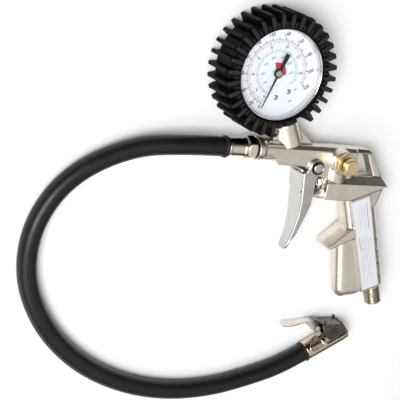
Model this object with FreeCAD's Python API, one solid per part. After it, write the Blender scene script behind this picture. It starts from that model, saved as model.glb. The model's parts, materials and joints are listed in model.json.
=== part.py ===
"""Tyre inflator with a boot-protected dial gauge, a short hose and a clip-on chuck.

Working axes while modelling: X runs back along the barrel (muzzle towards -X),
Y runs up from the handle to the gauge, Z comes out of the gauge face, which is
the left side of the gun. The gun lies on its right side, so Z is up. Everything
is moved by (OX, OY, OZ) when it is written, which puts the origin under the
middle of the gun, on the surface it lies on. Millimetres throughout.
"""
import FreeCAD
import Part
import math
import os

V = FreeCAD.Vector

# ---------------------------------------------------------------- dimensions
# placement of the working axes in the part's frame
OX, OY, OZ = 5.2, 7.4, 15.5
FLOOR = -OZ                   # working height of the surface the gun lies on

# barrel and muzzle
BARREL_Y = 2.4                # height of the barrel's axis
NECK_R = 8.6
NECK_X0 = -53.6               # front face of the cast neck
WALL = 7.4                    # half thickness of the body's side walls
BAR = 5.0                     # half thickness of the rear bar and strut
BLOCK = 11.0                  # half width of the lower block
GRIP = 10.2                   # half width of the handle
SLAB = 7.4                    # half width of the front of the handle

# handle: runs down and back at RAKE from vertical
RAKE = math.radians(20.6)
RX, RY = math.sin(RAKE), -math.cos(RAKE)      # down the handle
SX, SY = math.cos(RAKE), math.sin(RAKE)       # back across the handle
INLET_Q = 33.4                # inlet axis, across the handle
GRIP_END = 118.0              # lower end, down the handle
INLET_R = 6.58                # G 1/4 thread, outside radius
INLET_LEN = 17.0

# trigger
PIVOT = (-4.0, -7.2)
PIN_R = 2.0
TRIG_IN = 7.8                 # inside half width between its cheeks
TRIG_OUT = 9.4
VALVE_Y = -21.5               # height of the main valve's axis
STEM_X = -10.85               # its stem's nose, just off the trigger
VALVE_TRAVEL = 3.6

# deflate valve
DEF = (15.0, -1.5)            # axis, parallel to Z
DEF_FACE = 14.0               # height of its boss face

# gauge
GC = (-51.4, 58.2)            # centre of the dial
STEM_A = math.radians(-63.5)  # direction of the gauge's stem (six o'clock)
DX, DY = math.cos(STEM_A), math.sin(STEM_A)
CASE_R = 31.6
STEM_R = 4.86                 # G 1/8 thread, outside radius
BEZEL_R = 34.0
LENS_R = 31.2
DIAL_Z = 5.6                  # height of the dial's face
CASE_Z0, CASE_Z1 = -12.4, 9.0
BOOT_R = 37.6                 # rubber boot, between its ribs
RIB_R = 43.6                  # rib tips
RIB_Z1 = 15.2                 # their front face
BEZEL_Z = 12.9               # front face of the bezel
BOOT_Z0, BOOT_Z1 = FLOOR, 13.5
LIP_R = 31.7                  # opening of the boot's lip
RIBS = 32
RIB_A0 = math.radians(1.0)
PINION_T, SECTOR_T, MODULE = 10, 80, 0.5
SECTOR_OFF = MODULE * (PINION_T + SECTOR_T) / 2.0 + 0.05

# hose
HOSE_R = 7.0
ROUTE = [(-79.4, 2.4, 0.0), (-108.5, 2.4, 0.0), (-145.0, -2.4, -5.2),
         (-184.5, -24.0, -8.0), (-205.5, -57.5, -8.5), (-207.0, -96.5, -8.5),
         (-189.5, -132.5, -8.5), (-161.0, -160.5, -8.5), (-125.5, -179.0, -8.5),
         (-86.5, -188.0, -8.5), (-46.5, -187.0, -8.5), (-11.8, -178.2, -8.3),
         (11.112, -170.347, -7.7), (29.244, -160.197, -7.7)]

# clip-on chuck, along its own axis from the end of the hose
CK = (32.49, -158.38, -7.7)
CK_A = math.radians(29.24)
UX, UY = math.cos(CK_A), math.sin(CK_A)
CHUCK_R = 7.8
CHUCK_LEN = 36.0
MOUTH_R = 4.1
CK_PIV = (13.2, 15.0)         # clip pivot: along the axis, above the axis
LUG = 2.2                     # half thickness of the lug it turns on


# ------------------------------------------------------------------- helpers
def H(p, q):
    """Point p down the handle and q back across it."""
    return (p * RX + q * SX, p * RY + q * SY)


def D(t, n=0.0):
    """Point t out from the dial's centre along the stem and n across it."""
    return (GC[0] + t * DX - n * DY, GC[1] + t * DY + n * DX)


def U(u, w):
    """Point u along the chuck and w above its axis."""
    return (CK[0] + u * UX - w * UY, CK[1] + u * UY + w * UX)


def prism(pts, z0, z1):
    w = Part.makePolygon([V(x, y, z0) for x, y in pts] + [V(pts[0][0], pts[0][1], z0)])
    return Part.Face(w).extrude(V(0, 0, z1 - z0))


def cyl(a, b, r):
    a, b = V(*a), V(*b)
    d = b.sub(a)
    return Part.makeCylinder(r, d.Length, a, d)


def cone(a, b, r0, r1):
    a, b = V(*a), V(*b)
    d = b.sub(a)
    return Part.makeCone(r0, r1, d.Length, a, d)


def tube(a, b, ro, ri):
    return cyl(a, b, ro).cut(cyl(a, b, ri))


def zrev(pts, cx, cy):
    """Ring from a closed (radius, z) outline, about an upright axis."""
    w = Part.makePolygon([V(cx + r, cy, z) for r, z in pts]
                         + [V(cx + pts[0][0], cy, pts[0][1])])
    return Part.Face(w).revolve(V(cx, cy, 0), V(0, 0, 1), 360)


def axrev(pts, a, d):
    """Solid from a closed (distance along, radius) outline about the line a + d."""
    a = V(*a)
    d = V(*d)
    d.normalize()
    n = d.cross(V(0, 0, 1))
    if n.Length < 0.1:
        n = V(1, 0, 0)
    n.normalize()
    q = [a.add(V(d).multiply(t)).add(V(n).multiply(r)) for t, r in pts]
    return Part.Face(Part.makePolygon(q + [q[0]])).revolve(a, d, 360)


def hexa(a, b, af, turn=0.0):
    """Hexagonal bar of width af across flats, from a to b."""
    a, b = V(*a), V(*b)
    d = b.sub(a)
    L = d.Length
    d.normalize()
    n = d.cross(V(0, 0, 1))
    if n.Length < 0.1:
        n = V(1, 0, 0)
    n.normalize()
    m = d.cross(n)
    r = af / math.sqrt(3)
    q = []
    for i in range(6):
        t = math.radians(60 * i + turn)
        q.append(a.add(V(n).multiply(r * math.cos(t))).add(V(m).multiply(r * math.sin(t))))
    bar = Part.Face(Part.makePolygon(q + [q[0]])).extrude(V(d).multiply(L))
    # corners taken off at both ends, as on any turned nut
    c = 0.5 * af * 1.02
    lim = axrev([(0, 0), (0, c), (r - c * 0.98, r + 0.05), (L - (r - c * 0.98), r + 0.05),
                 (L, c), (L, 0)], (a.x, a.y, a.z), (d.x, d.y, d.z))
    return bar.common(lim)


def fuse(items):
    s = items[0]
    if len(items) > 1:
        s = s.multiFuse(items[1:])
    return s.removeSplitter()


def join(items):
    """Fuse one piece after another, leaving the seams between flat faces."""
    s = items[0].removeSplitter()
    for q in items[1:]:
        s = s.fuse(q)
    return s


def cutall(s, items):
    return s.cut(items[0].multiFuse(items[1:]) if len(items) > 1 else items[0])


def round_edges(shape, r, pick, name=""):
    """Fillet the picked edges, smaller if the full radius has no room."""
    edges = [e for e in shape.Edges if pick(e)]
    for k in (1.0, 0.7, 0.45):
        if not edges:
            break
        try:
            s = shape.makeFillet(r * k, edges)
            if s.isValid() and s.Volume > 0:
                if k != 1.0:
                    print("fillet", name, "at", r * k)
                return s
        except Exception:
            pass
    print("fillet left out:", name, len(edges))
    return shape


def along(e, d, tol=0.999):
    if not isinstance(e.Curve, Part.Line):
        return False
    t = e.tangentAt(e.FirstParameter)
    return abs(t.dot(V(*d))) > tol


def coil(a, d, r_mid, wire, length, turns, steps=18, sides=8):
    """Coil spring from a along d, as a bar of flat faces wound on a helix."""
    rot = FreeCAD.Rotation(V(0, 0, 1), V(*d))
    a = V(*a)
    n = int(round(turns * steps))
    pitch = length / turns
    slope = math.atan2(pitch, 2 * math.pi * r_mid)
    rings = []
    for i in range(n + 1):
        t = 2 * math.pi * i / steps
        rad = V(math.cos(t), math.sin(t), 0)
        tan = V(-math.sin(t) * math.cos(slope), math.cos(t) * math.cos(slope), math.sin(slope))
        nor = tan.cross(rad)
        c = V(r_mid * math.cos(t), r_mid * math.sin(t), length * i / n)
        ring_ = []
        for k in range(sides):
            g = 2 * math.pi * k / sides
            ring_.append(c.add(V(rad).multiply(0.5 * wire * math.cos(g))).add(V(nor).multiply(0.5 * wire * math.sin(g))))
        rings.append([rot.multVec(q).add(a) for q in ring_])
    faces = []

    def tri(p, q, r):
        faces.append(Part.Face(Part.makePolygon([p, q, r, p])))

    for i in range(n):
        for k in range(sides):
            m = (k + 1) % sides
            tri(rings[i][k], rings[i][m], rings[i + 1][m])
            tri(rings[i][k], rings[i + 1][m], rings[i + 1][k])
    for i in (0, n):
        for k in range(1, sides - 1):
            tri(rings[i][0], rings[i][k], rings[i][k + 1])
    sh = Part.makeShell(faces)
    sh.sewShape()
    sol = Part.makeSolid(Part.Shell(sh.Faces) if sh.ShapeType != "Shell" else sh)
    if sol.Volume < 0:
        sol.reverse()
    return sol


def one(s, name):
    s = s.removeSplitter()
    if len(s.Solids) == 1:
        s = s.Solids[0]
    return s


parts = {}


def add(name, s, pieces=1):
    s = s.copy()
    sol = s.Solids
    if len(sol) != pieces:
        print("CHECK", name, "has", len(sol), "solids, wanted", pieces)
    if not s.isValid():
        print("CHECK", name, "is not valid")
    if pieces == 1 and len(sol) == 1:
        s = sol[0]
    parts[name] = s


# =================================================================== gun body
top = 60.0
front = [(-49.2, 9.4), (-40, 8.6), (-10, 7.9), (29.2, 7.5), (29.2, -12.6), (27, -12.6), (27, -30.5), (3.2, -30.5),
         (-0.6, -29.6), (-3.2, -27.9), (-3.4, -27.1), (0.5, -27.0), (4.4, -25.4),
         (6.2, -22.0), (6.2, -18.5), (4.6, -15.6), (1.6, -14.4), (-4.0, -14.2),
         (-8.6, -12.4), (-10.8, -9.2), (-14.0, -7.5), (-36.0, -6.9), (-44.0, 3.2)]
a = prism(front, -WALL, WALL)
sect = [(-WALL, -40), (WALL, -40), (WALL, 5.0), (4.4, 8.0), (4.4, 12), (-4.4, 12), (-4.4, 8.0), (-WALL, 5.0)]
w = Part.makePolygon([V(-60, y, z) for z, y in sect] + [V(-60, sect[0][1], sect[0][0])])
a = a.common(Part.Face(w).extrude(V(140, 0, 0)))

rear = prism([(24, 4.9), (44.5, 4.9), (47.6, 1.2), (56.2, -11.4), (60.0, -18.4),
              (59.0, -20), (24, -20)], -BAR, BAR)
rear = rear.cut(prism([(32.6, 4.4), (39.6, 4.4), (49.2, -12.6), (29.2, -12.6), (29.2, 1.4)], -20, 20))
rear = round_edges(rear, 1.2, lambda e: (not along(e, (0, 0, 1))) and e.BoundBox.ZLength < 0.01
                   and e.BoundBox.YMax > -12.4 and e.BoundBox.XMax > 30
                   and e.BoundBox.YMin < 3.9 and not (e.BoundBox.XLength < 0.01), "rear bar")


def quad(xb, yb, hb, xt, yt, ht):
    return Part.makePolygon([V(xb, yb, -hb), V(xb, yb, hb), V(xt, yt, ht), V(xt, yt, -ht), V(xb, yb, -hb)])


# the rail over the window: its sides lean in, and it thins towards the rear corner
r0, r1, r2 = quad(20.0, 4.4, 7.4, 20.0, 7.9, 4.4), quad(40.6, 4.4, 5.8, 40.6, 7.4, 3.8), quad(44.8, 4.4, 5.0, 43.5, 6.3, 3.4)
rail = Part.makeLoft([r0, r1], True, True).fuse(Part.makeLoft([r1, r2], True, True))

# lower block: its top slopes down and out on both sides
out = [(6.2, -12.6), (56.4, -12.6), (59.8, -18.8), H(38.6, 47.6), H(38.6, 13.6), (24.4, -30.5), (6.2, -30.5)]
blk = prism(out, -BLOCK, BLOCK)
sect = [(-BLOCK, -50), (BLOCK, -50), (BLOCK, -18.0), (BAR, -12.6), (-BAR, -12.6), (-BLOCK, -18.0)]
w = Part.makePolygon([V(0, y, z) for z, y in sect] + [V(0, sect[0][1], sect[0][0])])
blk = blk.common(Part.Face(w).extrude(V(80, 0, 0)))
blk = round_edges(blk, 1.6, lambda e: along(e, (0, 0, 1)) and e.CenterOfMass.x < 8, "block front")

# handle
tail = prism([H(36, 47.4), H(39.6, 47.6), H(50.5, 39.6), H(50.5, 28), H(36, 28)], -9.8, 9.8)
tail = round_edges(tail, 3.0, lambda e: (not along(e, (0, 0, 1))) and e.CenterOfMass.x > 52, "tail")
col = prism([H(32, 17.0), H(32, 41.0), H(GRIP_END, 41.0), H(GRIP_END, 18.6)], -GRIP, GRIP)
col = round_edges(col, 8.6, lambda e: along(e, (RX, RY, 0)) and e.CenterOfMass.dot(V(SX, SY, 0)) > 38, "column rear")
col = round_edges(col, 2.4, lambda e: e.CenterOfMass.dot(V(RX, RY, 0)) > GRIP_END - 0.1
                  and not along(e, (0, 0, 1)), "column foot")
fro = prism([H(34, 13.2), H(34, 20), H(72, 20), H(72, 13.9)], -8.9, 8.9)
fro = round_edges(fro, 6.4, lambda e: (not along(e, (0, 0, 1))) and e.CenterOfMass.dot(V(SX, SY, 0)) < 14.2
                  and e.BoundBox.YLength > 10, "upper front")
slab = prism([H(62, 13.4), H(70, 4.8), H(79, 3.6), H(111, -0.7), H(115.2, 0.0), H(118.2, 3.0),
              H(119.6, 8.0), H(119.0, 14.0), H(116.9, 21.0), H(62, 24)], -SLAB, SLAB)
slab = round_edges(slab, 7.0, lambda e: (not along(e, (0, 0, 1))) and e.CenterOfMass.dot(V(SX, SY, 0)) < 10.5
                   and e.CenterOfMass.dot(V(RX, RY, 0)) > 71, "slab front")
guard = prism([(19.6, -67.8), (36.8, -53.2), (44, -49.8), (46, -57.6), (39.2, -61.0), (22.4, -68.9),
               (20.4, -69.5), (19.4, -69.0)], -10.3, 10.3)
guard = round_edges(guard, 2.0, lambda e: along(e, (0, 0, 1)) is False and e.CenterOfMass.x < 20.2, "guard tip")
gl = math.hypot(17.2, 14.6)
gx0, gy0 = 19.9, -67.5
gn = (-14.6 / gl, 17.2 / gl)
rib = Part.Face(Part.makePolygon([V(gx0 - gn[0] * 0.6, gy0 - gn[1] * 0.6, -10.0), V(gx0, gy0, -10.0),
                                  V(gx0 + gn[0] * 1.1, gy0 + gn[1] * 1.1, -0.35),
                                  V(gx0 + gn[0] * 1.1, gy0 + gn[1] * 1.1, 0.35), V(gx0, gy0, 10.0),
                                  V(gx0 - gn[0] * 0.6, gy0 - gn[1] * 0.6, 10.0),
                                  V(gx0 - gn[0] * 0.6, gy0 - gn[1] * 0.6, -10.0)])).extrude(V(17.2, 14.6, 0).multiply(0.98))

neck = axrev([(0, 0), (0, NECK_R - 0.5), (0.5, NECK_R), (4.0, NECK_R), (5.0, NECK_R - 0.3), (5.8, 7.6), (14, 7.6), (14, 0)],
             (NECK_X0, BARREL_Y, 0), (1, 0, 0))
neck = neck.fuse(cyl((-49.0, BARREL_Y, 0), (-33.0, BARREL_Y, 0), 8.1).common(Part.makeBox(20, 30, 13.2, V(-50, -15, -6.6))))
barrel = cyl((DEF[0], -19.5, 0), (DEF[0], -5.0, 0), 10.6).fuse(cone((DEF[0], -5.0, 0), (DEF[0], 3.6, 0), 10.6, 7.2))
ring = cyl((DEF[0], DEF[1], -WALL - 1.6), (DEF[0], DEF[1], DEF_FACE), 8.7)
bt = D(39.4)
bb = D(57.0)
boss = cone((bb[0], bb[1], 0), (bt[0], bt[1], 0), 9.2, 8.35)
boss = round_edges(boss, 1.0, lambda e: e.CenterOfMass.y > 15 and e.BoundBox.XLength > 5, "boss top")
web = prism([D(44.5, 6.0), (-22.0, 20.0), (-7.2, 8.4), (-8.0, 6.0), (-30, 6.0)], -2.2, 2.2)
step = prism([D(46.0, -4.0), (-41.5, 12.5), (-44.0, 8.4), (-30, 6.0), (-28, 12)], -3.4, 3.4)

body = join([a, rear, rail, blk, tail, col, fro, slab, guard, rib, neck, barrel, ring, boss, web, step])

mouth = [cyl((NECK_X0 - 1, BARREL_Y, 0), (-40.2, BARREL_Y, 0), 5.0),
         cyl((-40, BARREL_Y, 0), (12, BARREL_Y, 0), 2.6)]
s0, s1 = D(38.8), D(55.0)
sock = [cyl((s0[0], s0[1], 0), (s1[0], s1[1], 0), STEM_R),
        cyl((D(54)[0], D(54)[1], 0), (D(64.5)[0], D(64.5)[1], 0), 2.0)]
defb = [cyl((DEF[0], DEF[1], 1.0), (DEF[0], DEF[1], DEF_FACE + 1), 5.0),
        cyl((DEF[0], DEF[1], -4.0), (DEF[0], DEF[1], 2.0), 3.0)]
valb = [cyl((1.0, VALVE_Y, 0), (6.2, VALVE_Y, 0), 5.4),
        cyl((6.0, VALVE_Y, 0), (20.0, VALVE_Y, 0), 5.0),
        cyl((19.0, VALVE_Y, 0), (43.0, VALVE_Y, 0), 3.2),
        cyl((DEF[0] + 9.0, VALVE_Y, 0), (DEF[0] + 9.0, -14.5, 0), 2.2),
        cyl((DEF[0] + 9.0, -14.5, 0), (DEF[0], -4.0, 0), 2.2)]
h0, h1 = H(34.0, INLET_Q), H(GRIP_END + 2, INLET_Q)
h2 = H(GRIP_END - 12, INLET_Q)
airb = [cyl((h0[0], h0[1], 0), (h1[0], h1[1], 0), 3.6), cyl((h2[0], h2[1], 0), (h1[0], h1[1], 0), 5.2)]
pinb = [cyl((PIVOT[0], PIVOT[1], -20), (PIVOT[0], PIVOT[1], 20), PIN_R)]
notch = []
core = prism([H(60, 20.0), H(60, 39.9), H(130, 39.9), H(130, 20.0)], -GRIP + 1.0, GRIP - 1.0)
core = round_edges(core, 7.7, lambda e: along(e, (RX, RY, 0)) and e.CenterOfMass.dot(V(SX, SY, 0)) > 38, "groove floor")
for p in (76.3, 86.7, 97.3, 107.7):
    band = prism([H(p - 0.7, 34.2), H(p + 0.7, 34.2), H(p + 0.8, 43), H(p - 0.8, 43)], -20, 20)
    notch.append(band.cut(core))
LABEL = [H(41.2, 18.0), H(41.2, 33.4), H(115.6, 33.4), H(115.6, 19.6)]
seat = [prism(LABEL, GRIP - 0.5, GRIP + 2)]
body = cutall(body, mouth + sock + defb + valb + airb + pinb + notch + seat)
add("gun_body", body)

# label plate: bare, let into the handle's left side
add("label_plate", prism(LABEL, GRIP - 0.5, GRIP - 0.08))

# ================================================================ air inlet
n0 = H(GRIP_END - 12, INLET_Q)
nip = axrev([(0, 3.0), (0, 5.2), (12, 5.2), (12, INLET_R), (12 + INLET_LEN - 0.9, INLET_R),
             (12 + INLET_LEN, INLET_R - 0.9), (12 + INLET_LEN, 3.4), (10, 3.4), (10, 3.0)],
            (n0[0], n0[1], 0), (RX, RY, 0))
add("inlet_nipple", nip)
f0 = H(GRIP_END - 2.0, INLET_Q)
flt = axrev([(0, 0), (0, 3.4), (9.0, 3.4), (9.0, 2.6), (1.0, 2.6), (1.0, 0)],
            (f0[0], f0[1], 0), (RX, RY, 0))
add("inlet_filter", flt)

# =================================================================== trigger
face = [(-14.6, -12.2), (-13.6, -19), (-12.7, -26), (-11.9, -34), (-11.2, -45), (-11.8, -55), (-13.2, -63.5),
        (-14.9, -69.0), (-15.6, -70.6), (-15.2, -71.6)]
back = [(x + 2.2, y) for x, y in face]
back[-1] = (-14.2, -71.9)
back[-2] = (-13.2, -71.4)
plate = prism(face + back[::-1], -TRIG_OUT, TRIG_OUT)
# the plate narrows towards its tip
nar = Part.Face(Part.makePolygon([V(-40, -5, 9.4), V(-40, -34, 9.4), V(-40, -56, 6.6), V(-40, -67.5, 5.4),
                                  V(-40, -70.4, 4.2), V(-40, -72.2, 1.8), V(-40, -72.2, -1.8), V(-40, -70.4, -4.2),
                                  V(-40, -67.5, -5.4), V(-40, -56, -6.6),
                                  V(-40, -34, -9.4), V(-40, -5, -9.4), V(-40, -5, 9.4)])).extrude(V(60, 0, 0))
plate = plate.common(nar)
# its long front edges are taken off
HW = [(-5, 9.4), (-34, 9.4), (-56, 6.6), (-67.5, 5.4)]


def half_width(y_):
    for (ya, wa), (yb, wb) in zip(HW, HW[1:]):
        if yb <= y_ <= ya:
            return wa + (wb - wa) * (y_ - ya) / (yb - ya)
    return HW[-1][1]


for sg in (-1, 1):
    wires = []
    for fx, fy in [(-14.9, -10.5)] + face[:8]:
        hw_ = half_width(fy)
        wires.append(Part.makePolygon([V(fx - 0.6, fy, sg * (hw_ + 0.6)), V(fx + 1.5, fy, sg * (hw_ + 0.6)),
                                       V(fx - 0.6, fy, sg * (hw_ - 1.5)), V(fx - 0.6, fy, sg * (hw_ + 0.6))]))
    plate = plate.cut(Part.makeLoft(wires, True, True))
cheekp = [(-12.6, -12.3), (-11.0, -8.2), (-8.8, -4.0), (-6.2, -2.0), (-4.0, -1.5), (-1.0, -2.3), (1.0, -4.4),
          (1.7, -7.2), (1.0, -10.2), (-1.4, -12.8), (-3.2, -16.5), (-3.0, -25.5), (-3.4, -35.5),
          (-5.0, -43.2), (-7.4, -54.0), (-8.9, -60.0), (-11.0, -63.5), (-11.4, -63.5),
          (-10.2, -56), (-9.8, -45), (-10.5, -34), (-11.4, -26), (-12.2, -19), (-13.0, -12.4)]
cheek = prism(cheekp, -TRIG_OUT, TRIG_OUT).common(nar)
inner = Part.Face(Part.makePolygon([V(-40, 5, TRIG_IN), V(-40, -34, TRIG_IN), V(-40, -58, 5.2), V(-40, -80, 3.0),
                                    V(-40, -80, -3.0), V(-40, -58, -5.2), V(-40, -34, -TRIG_IN),
                                    V(-40, 5, -TRIG_IN), V(-40, 5, TRIG_IN)])).extrude(V(60, 0, 0))
cheek = cheek.cut(inner)
padp = [(-15.4, -12.4), (-14.4, -19), (-13.6, -25), (-13.15, -29.0), (-12.0, -29.0), (-12.4, -25), (-13.2, -19), (-14.2, -12.4)]
pad = prism(padp, -8.6, 8.6)
padlim = Part.Face(Part.makePolygon([V(-40, -5, 8.6), V(-40, -24.0, 8.6), V(-40, -26.6, 7.4), V(-40, -28.4, 5.0),
                                     V(-40, -29.0, 2.0), V(-40, -29.0, -2.0), V(-40, -28.4, -5.0),
                                     V(-40, -26.6, -7.4), V(-40, -24.0, -8.6), V(-40, -5, -8.6),
                                     V(-40, -5, 8.6)])).extrude(V(60, 0, 0))
pad = pad.common(padlim)
ears = [cyl((PIVOT[0], PIVOT[1], TRIG_IN), (PIVOT[0], PIVOT[1], TRIG_OUT + 0.3), 6.2),
        cyl((PIVOT[0], PIVOT[1], -TRIG_OUT), (PIVOT[0], PIVOT[1], -TRIG_IN), 6.2)]
trig = fuse([plate, cheek, pad] + ears)
trig = trig.cut(cyl((PIVOT[0], PIVOT[1], TRIG_OUT - 0.3), (PIVOT[0], PIVOT[1], TRIG_OUT + 2), 4.9))
trig = trig.cut(cyl((PIVOT[0], PIVOT[1], -20), (PIVOT[0], PIVOT[1], 20), PIN_R + 0.05))
add("trigger", trig)

# pin: head on the left, a washer and clip on the right
pin = fuse([cyl((PIVOT[0], PIVOT[1], -TRIG_OUT - 2.0), (PIVOT[0], PIVOT[1], TRIG_OUT + 0.1), PIN_R),
            axrev([(0, 0), (0, 3.6), (1.0, 3.6), (1.5, 3.0), (1.5, 0)],
                  (PIVOT[0], PIVOT[1], TRIG_OUT + 0.1), (0, 0, 1))])
pin = pin.cut(tube((PIVOT[0], PIVOT[1], -TRIG_OUT - 1.5), (PIVOT[0], PIVOT[1], -TRIG_OUT - 0.7), 3.0, 1.5))
add("trigger_pin", pin)
clip = tube((PIVOT[0], PIVOT[1], -TRIG_OUT - 1.45), (PIVOT[0], PIVOT[1], -TRIG_OUT - 0.75), 3.8, 1.5)
clip = clip.cut(Part.makeBox(2.2, 6, 4, V(PIVOT[0] - 1.1, PIVOT[1] - 6, -TRIG_OUT - 3)))
add("pin_clip", clip)

# ================================================================ main valve
gland = fuse([cyl((6.2, VALVE_Y, 0), (15.0, VALVE_Y, 0), 5.0),
              hexa((2.2, VALVE_Y, 0), (6.2, VALVE_Y, 0), 9.0, 30),
              ])
gland = gland.cut(cyl((0, VALVE_Y, 0), (16, VALVE_Y, 0), 1.65))
add("valve_gland", gland)
stem = axrev([(0, 0), (0, 0.9), (0.35, 2.0), (1.2, 3.0), (1.7, 3.2), (1.7, 4.6), (3.0, 4.6), (3.0, 1.6),
              (28.9, 1.6), (28.9, 2.7), (31.7, 2.7), (31.7, 0)], (STEM_X, VALVE_Y, 0), (1, 0, 0))
add("valve_stem", stem)
add("valve_seat", tube((15.0, VALVE_Y, 0), (17.6, VALVE_Y, 0), 5.0, 2.3))
add("valve_seal", tube((STEM_X + 28.5, VALVE_Y, 0), (STEM_X + 28.9, VALVE_Y, 0), 2.7, 1.6))
vs = coil((STEM_X + 3.55, VALVE_Y, 0), (1, 0, 0), 3.6, 1.0, 2.2 - STEM_X - 4.1, 4.5)
add("valve_spring", vs)

# ============================================================= deflate valve
x, y = DEF
nut = fuse([hexa((x, y, DEF_FACE), (x, y, 17.4), 15.2, 37), cyl((x, y, 4.0), (x, y, DEF_FACE), 5.0)])
nut = cutall(nut, [cyl((x, y, 15.6), (x, y, 21), 5.0), cyl((x, y, 3), (x, y, 16), 1.55)])
add("deflate_nut", nut)
but = axrev([(0, 0), (0, 2.8), (1.4, 2.8), (1.4, 1.5), (22.1, 1.5), (22.1, 3.7), (17.2, 3.7), (17.2, 4.7), (19.2, 4.7), (19.2, 5.7), (22.9, 5.7),
             (23.5, 5.1), (23.5, 0)], (x, y, 1.2), (0, 0, 1))
add("deflate_button", but)
add("deflate_spring", coil((x, y, 16.05), (0, 0, 1), 2.75, 0.8, 6.75, 3.5))
add("deflate_seal", tube((x, y, 2.6), (x, y, 3.9), 2.8, 1.5))

# ============================================================== gauge pieces
gx, gy = GC
case = zrev([(0, CASE_Z0), (CASE_R, CASE_Z0), (CASE_R, 7.4), (33.0, 7.4), (33.0, CASE_Z1), (30.9, CASE_Z1),
             (30.9, CASE_Z0 + 0.8), (0, CASE_Z0 + 0.8)], gx, gy)
c0, c1 = D(26.0), D(36.0)
case = case.cut(cyl((c0[0], c0[1], 0), (c1[0], c1[1], 0), STEM_R))
case = case.cut(cyl((D(-18)[0], D(-18)[1], CASE_Z0 - 1), (D(-18)[0], D(-18)[1], CASE_Z0 + 2), 3.5))
add("gauge_case", case)
pl = D(-18)
add("relief_plug", fuse([cyl((pl[0], pl[1], CASE_Z0 - 0.0), (pl[0], pl[1], CASE_Z0 + 0.8), 3.5),
                         cyl((pl[0], pl[1], CASE_Z0 + 0.8), (pl[0], pl[1], CASE_Z0 + 2.0), 4.4)]))
add("bezel_ring", zrev([(33.05, 7.4), (BEZEL_R, 7.4), (BEZEL_R, BEZEL_Z - 0.5), (33.5, BEZEL_Z), (31.9, BEZEL_Z),
                        (31.5, BEZEL_Z - 0.4), (31.5, 11.0), (33.05, 11.0)], gx, gy))
add("lens_gasket", zrev([(30.95, 9.0), (33.0, 9.0), (33.0, 10.0), (30.95, 10.0)], gx, gy))
add("gauge_lens", zrev([(0, 10.0), (33.0, 10.0), (33.0, 11.0), (0, 11.0)], gx, gy))
dial = cyl((gx, gy, DIAL_Z - 0.6), (gx, gy, DIAL_Z), 30.6)
dial = dial.cut(cyl((gx, gy, 0), (gx, gy, 10), 1.6))
scr = []
for s in (-1, 1):
    t = STEM_A + s * math.radians(17.5)
    px, py = gx + 17.5 * math.cos(t), gy + 17.5 * math.sin(t)
    dial = dial.cut(cyl((px, py, 0), (px, py, 10), 1.05))
    q = fuse([cyl((px, py, 2.4), (px, py, DIAL_Z), 1.05),
              axrev([(0, 0), (0, 1.9), (0.5, 1.7), (0.9, 1.1), (0.9, 0)], (px, py, DIAL_Z), (0, 0, 1))])
    q = q.cut(Part.makeBox(4, 0.5, 0.5, V(px - 2, py - 0.25, DIAL_Z + 0.5)))
    scr.append(q)
add("dial_plate", dial)
add("dial_screws", Part.makeCompound(scr), 2)

# pointer: rests on zero, 45 degrees clockwise of the stem
PA = STEM_A - math.radians(45.0)
cx_, sx_ = math.cos(PA), math.sin(PA)


def P(l, n=0.0):
    return (gx + l * cx_ - n * sx_, gy + l * sx_ + n * cx_)


needle = prism([P(26.6, 0.2), P(26.6, -0.2), P(0, -0.75), P(0, 0.75)], 8.0, 8.5)
tailp = prism([P(0, 1.1), P(0, -1.1), P(-14.6, -1.75), P(-14.6, 1.75)], 8.0, 8.5)
hub = axrev([(0, 0), (0, 3.4), (1.0, 3.4), (1.4, 3.0), (1.4, 0)], (gx, gy, 7.4), (0, 0, 1))
ptr = fuse([needle, tailp, hub]).cut(cyl((gx, gy, 7), (gx, gy, 9.5), 0.8))
add("pointer", ptr)


def gear_profile(cx, cy, n, m, phase, a0=None, a1=None, tip=0.42, root=0.55, wide=0.40):
    """Outline of n straight-sided teeth, with running room in the mesh."""
    rp = m * n / 2.0
    ro, rr = rp + tip, rp - root
    pts = []
    step = 2 * math.pi / n
    i0, i1 = (0, n) if a0 is None else (a0, a1)
    for i in range(i0, i1):
        c = phase + i * step
        hw_t = wide * step * 0.30
        hw_r = wide * step * 0.62
        for ang, rad in ((-hw_r, rr), (-hw_t, ro), (hw_t, ro), (hw_r, rr)):
            pts.append((cx + rad * math.cos(c + ang), cy + rad * math.sin(c + ang)))
    return pts


# arbor carries the pinion under the dial; the sector gear turns it
SA = STEM_A + math.radians(90.0)              # the sector's pivot lies across the stem
sx0, sy0 = gx + SECTOR_OFF * math.cos(SA), gy + SECTOR_OFF * math.sin(SA)
pin_prof = gear_profile(gx, gy, PINION_T, MODULE, SA)
arbor = fuse([cyl((gx, gy, -5.2), (gx, gy, 8.9), 0.8), prism(pin_prof, -3.4, -1.2),
              axrev([(0, 0), (0, 2.4), (0.4, 2.1), (0.4, 0)], (gx, gy, 8.8), (0, 0, 1))])
add("pointer_arbor", arbor)
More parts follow.
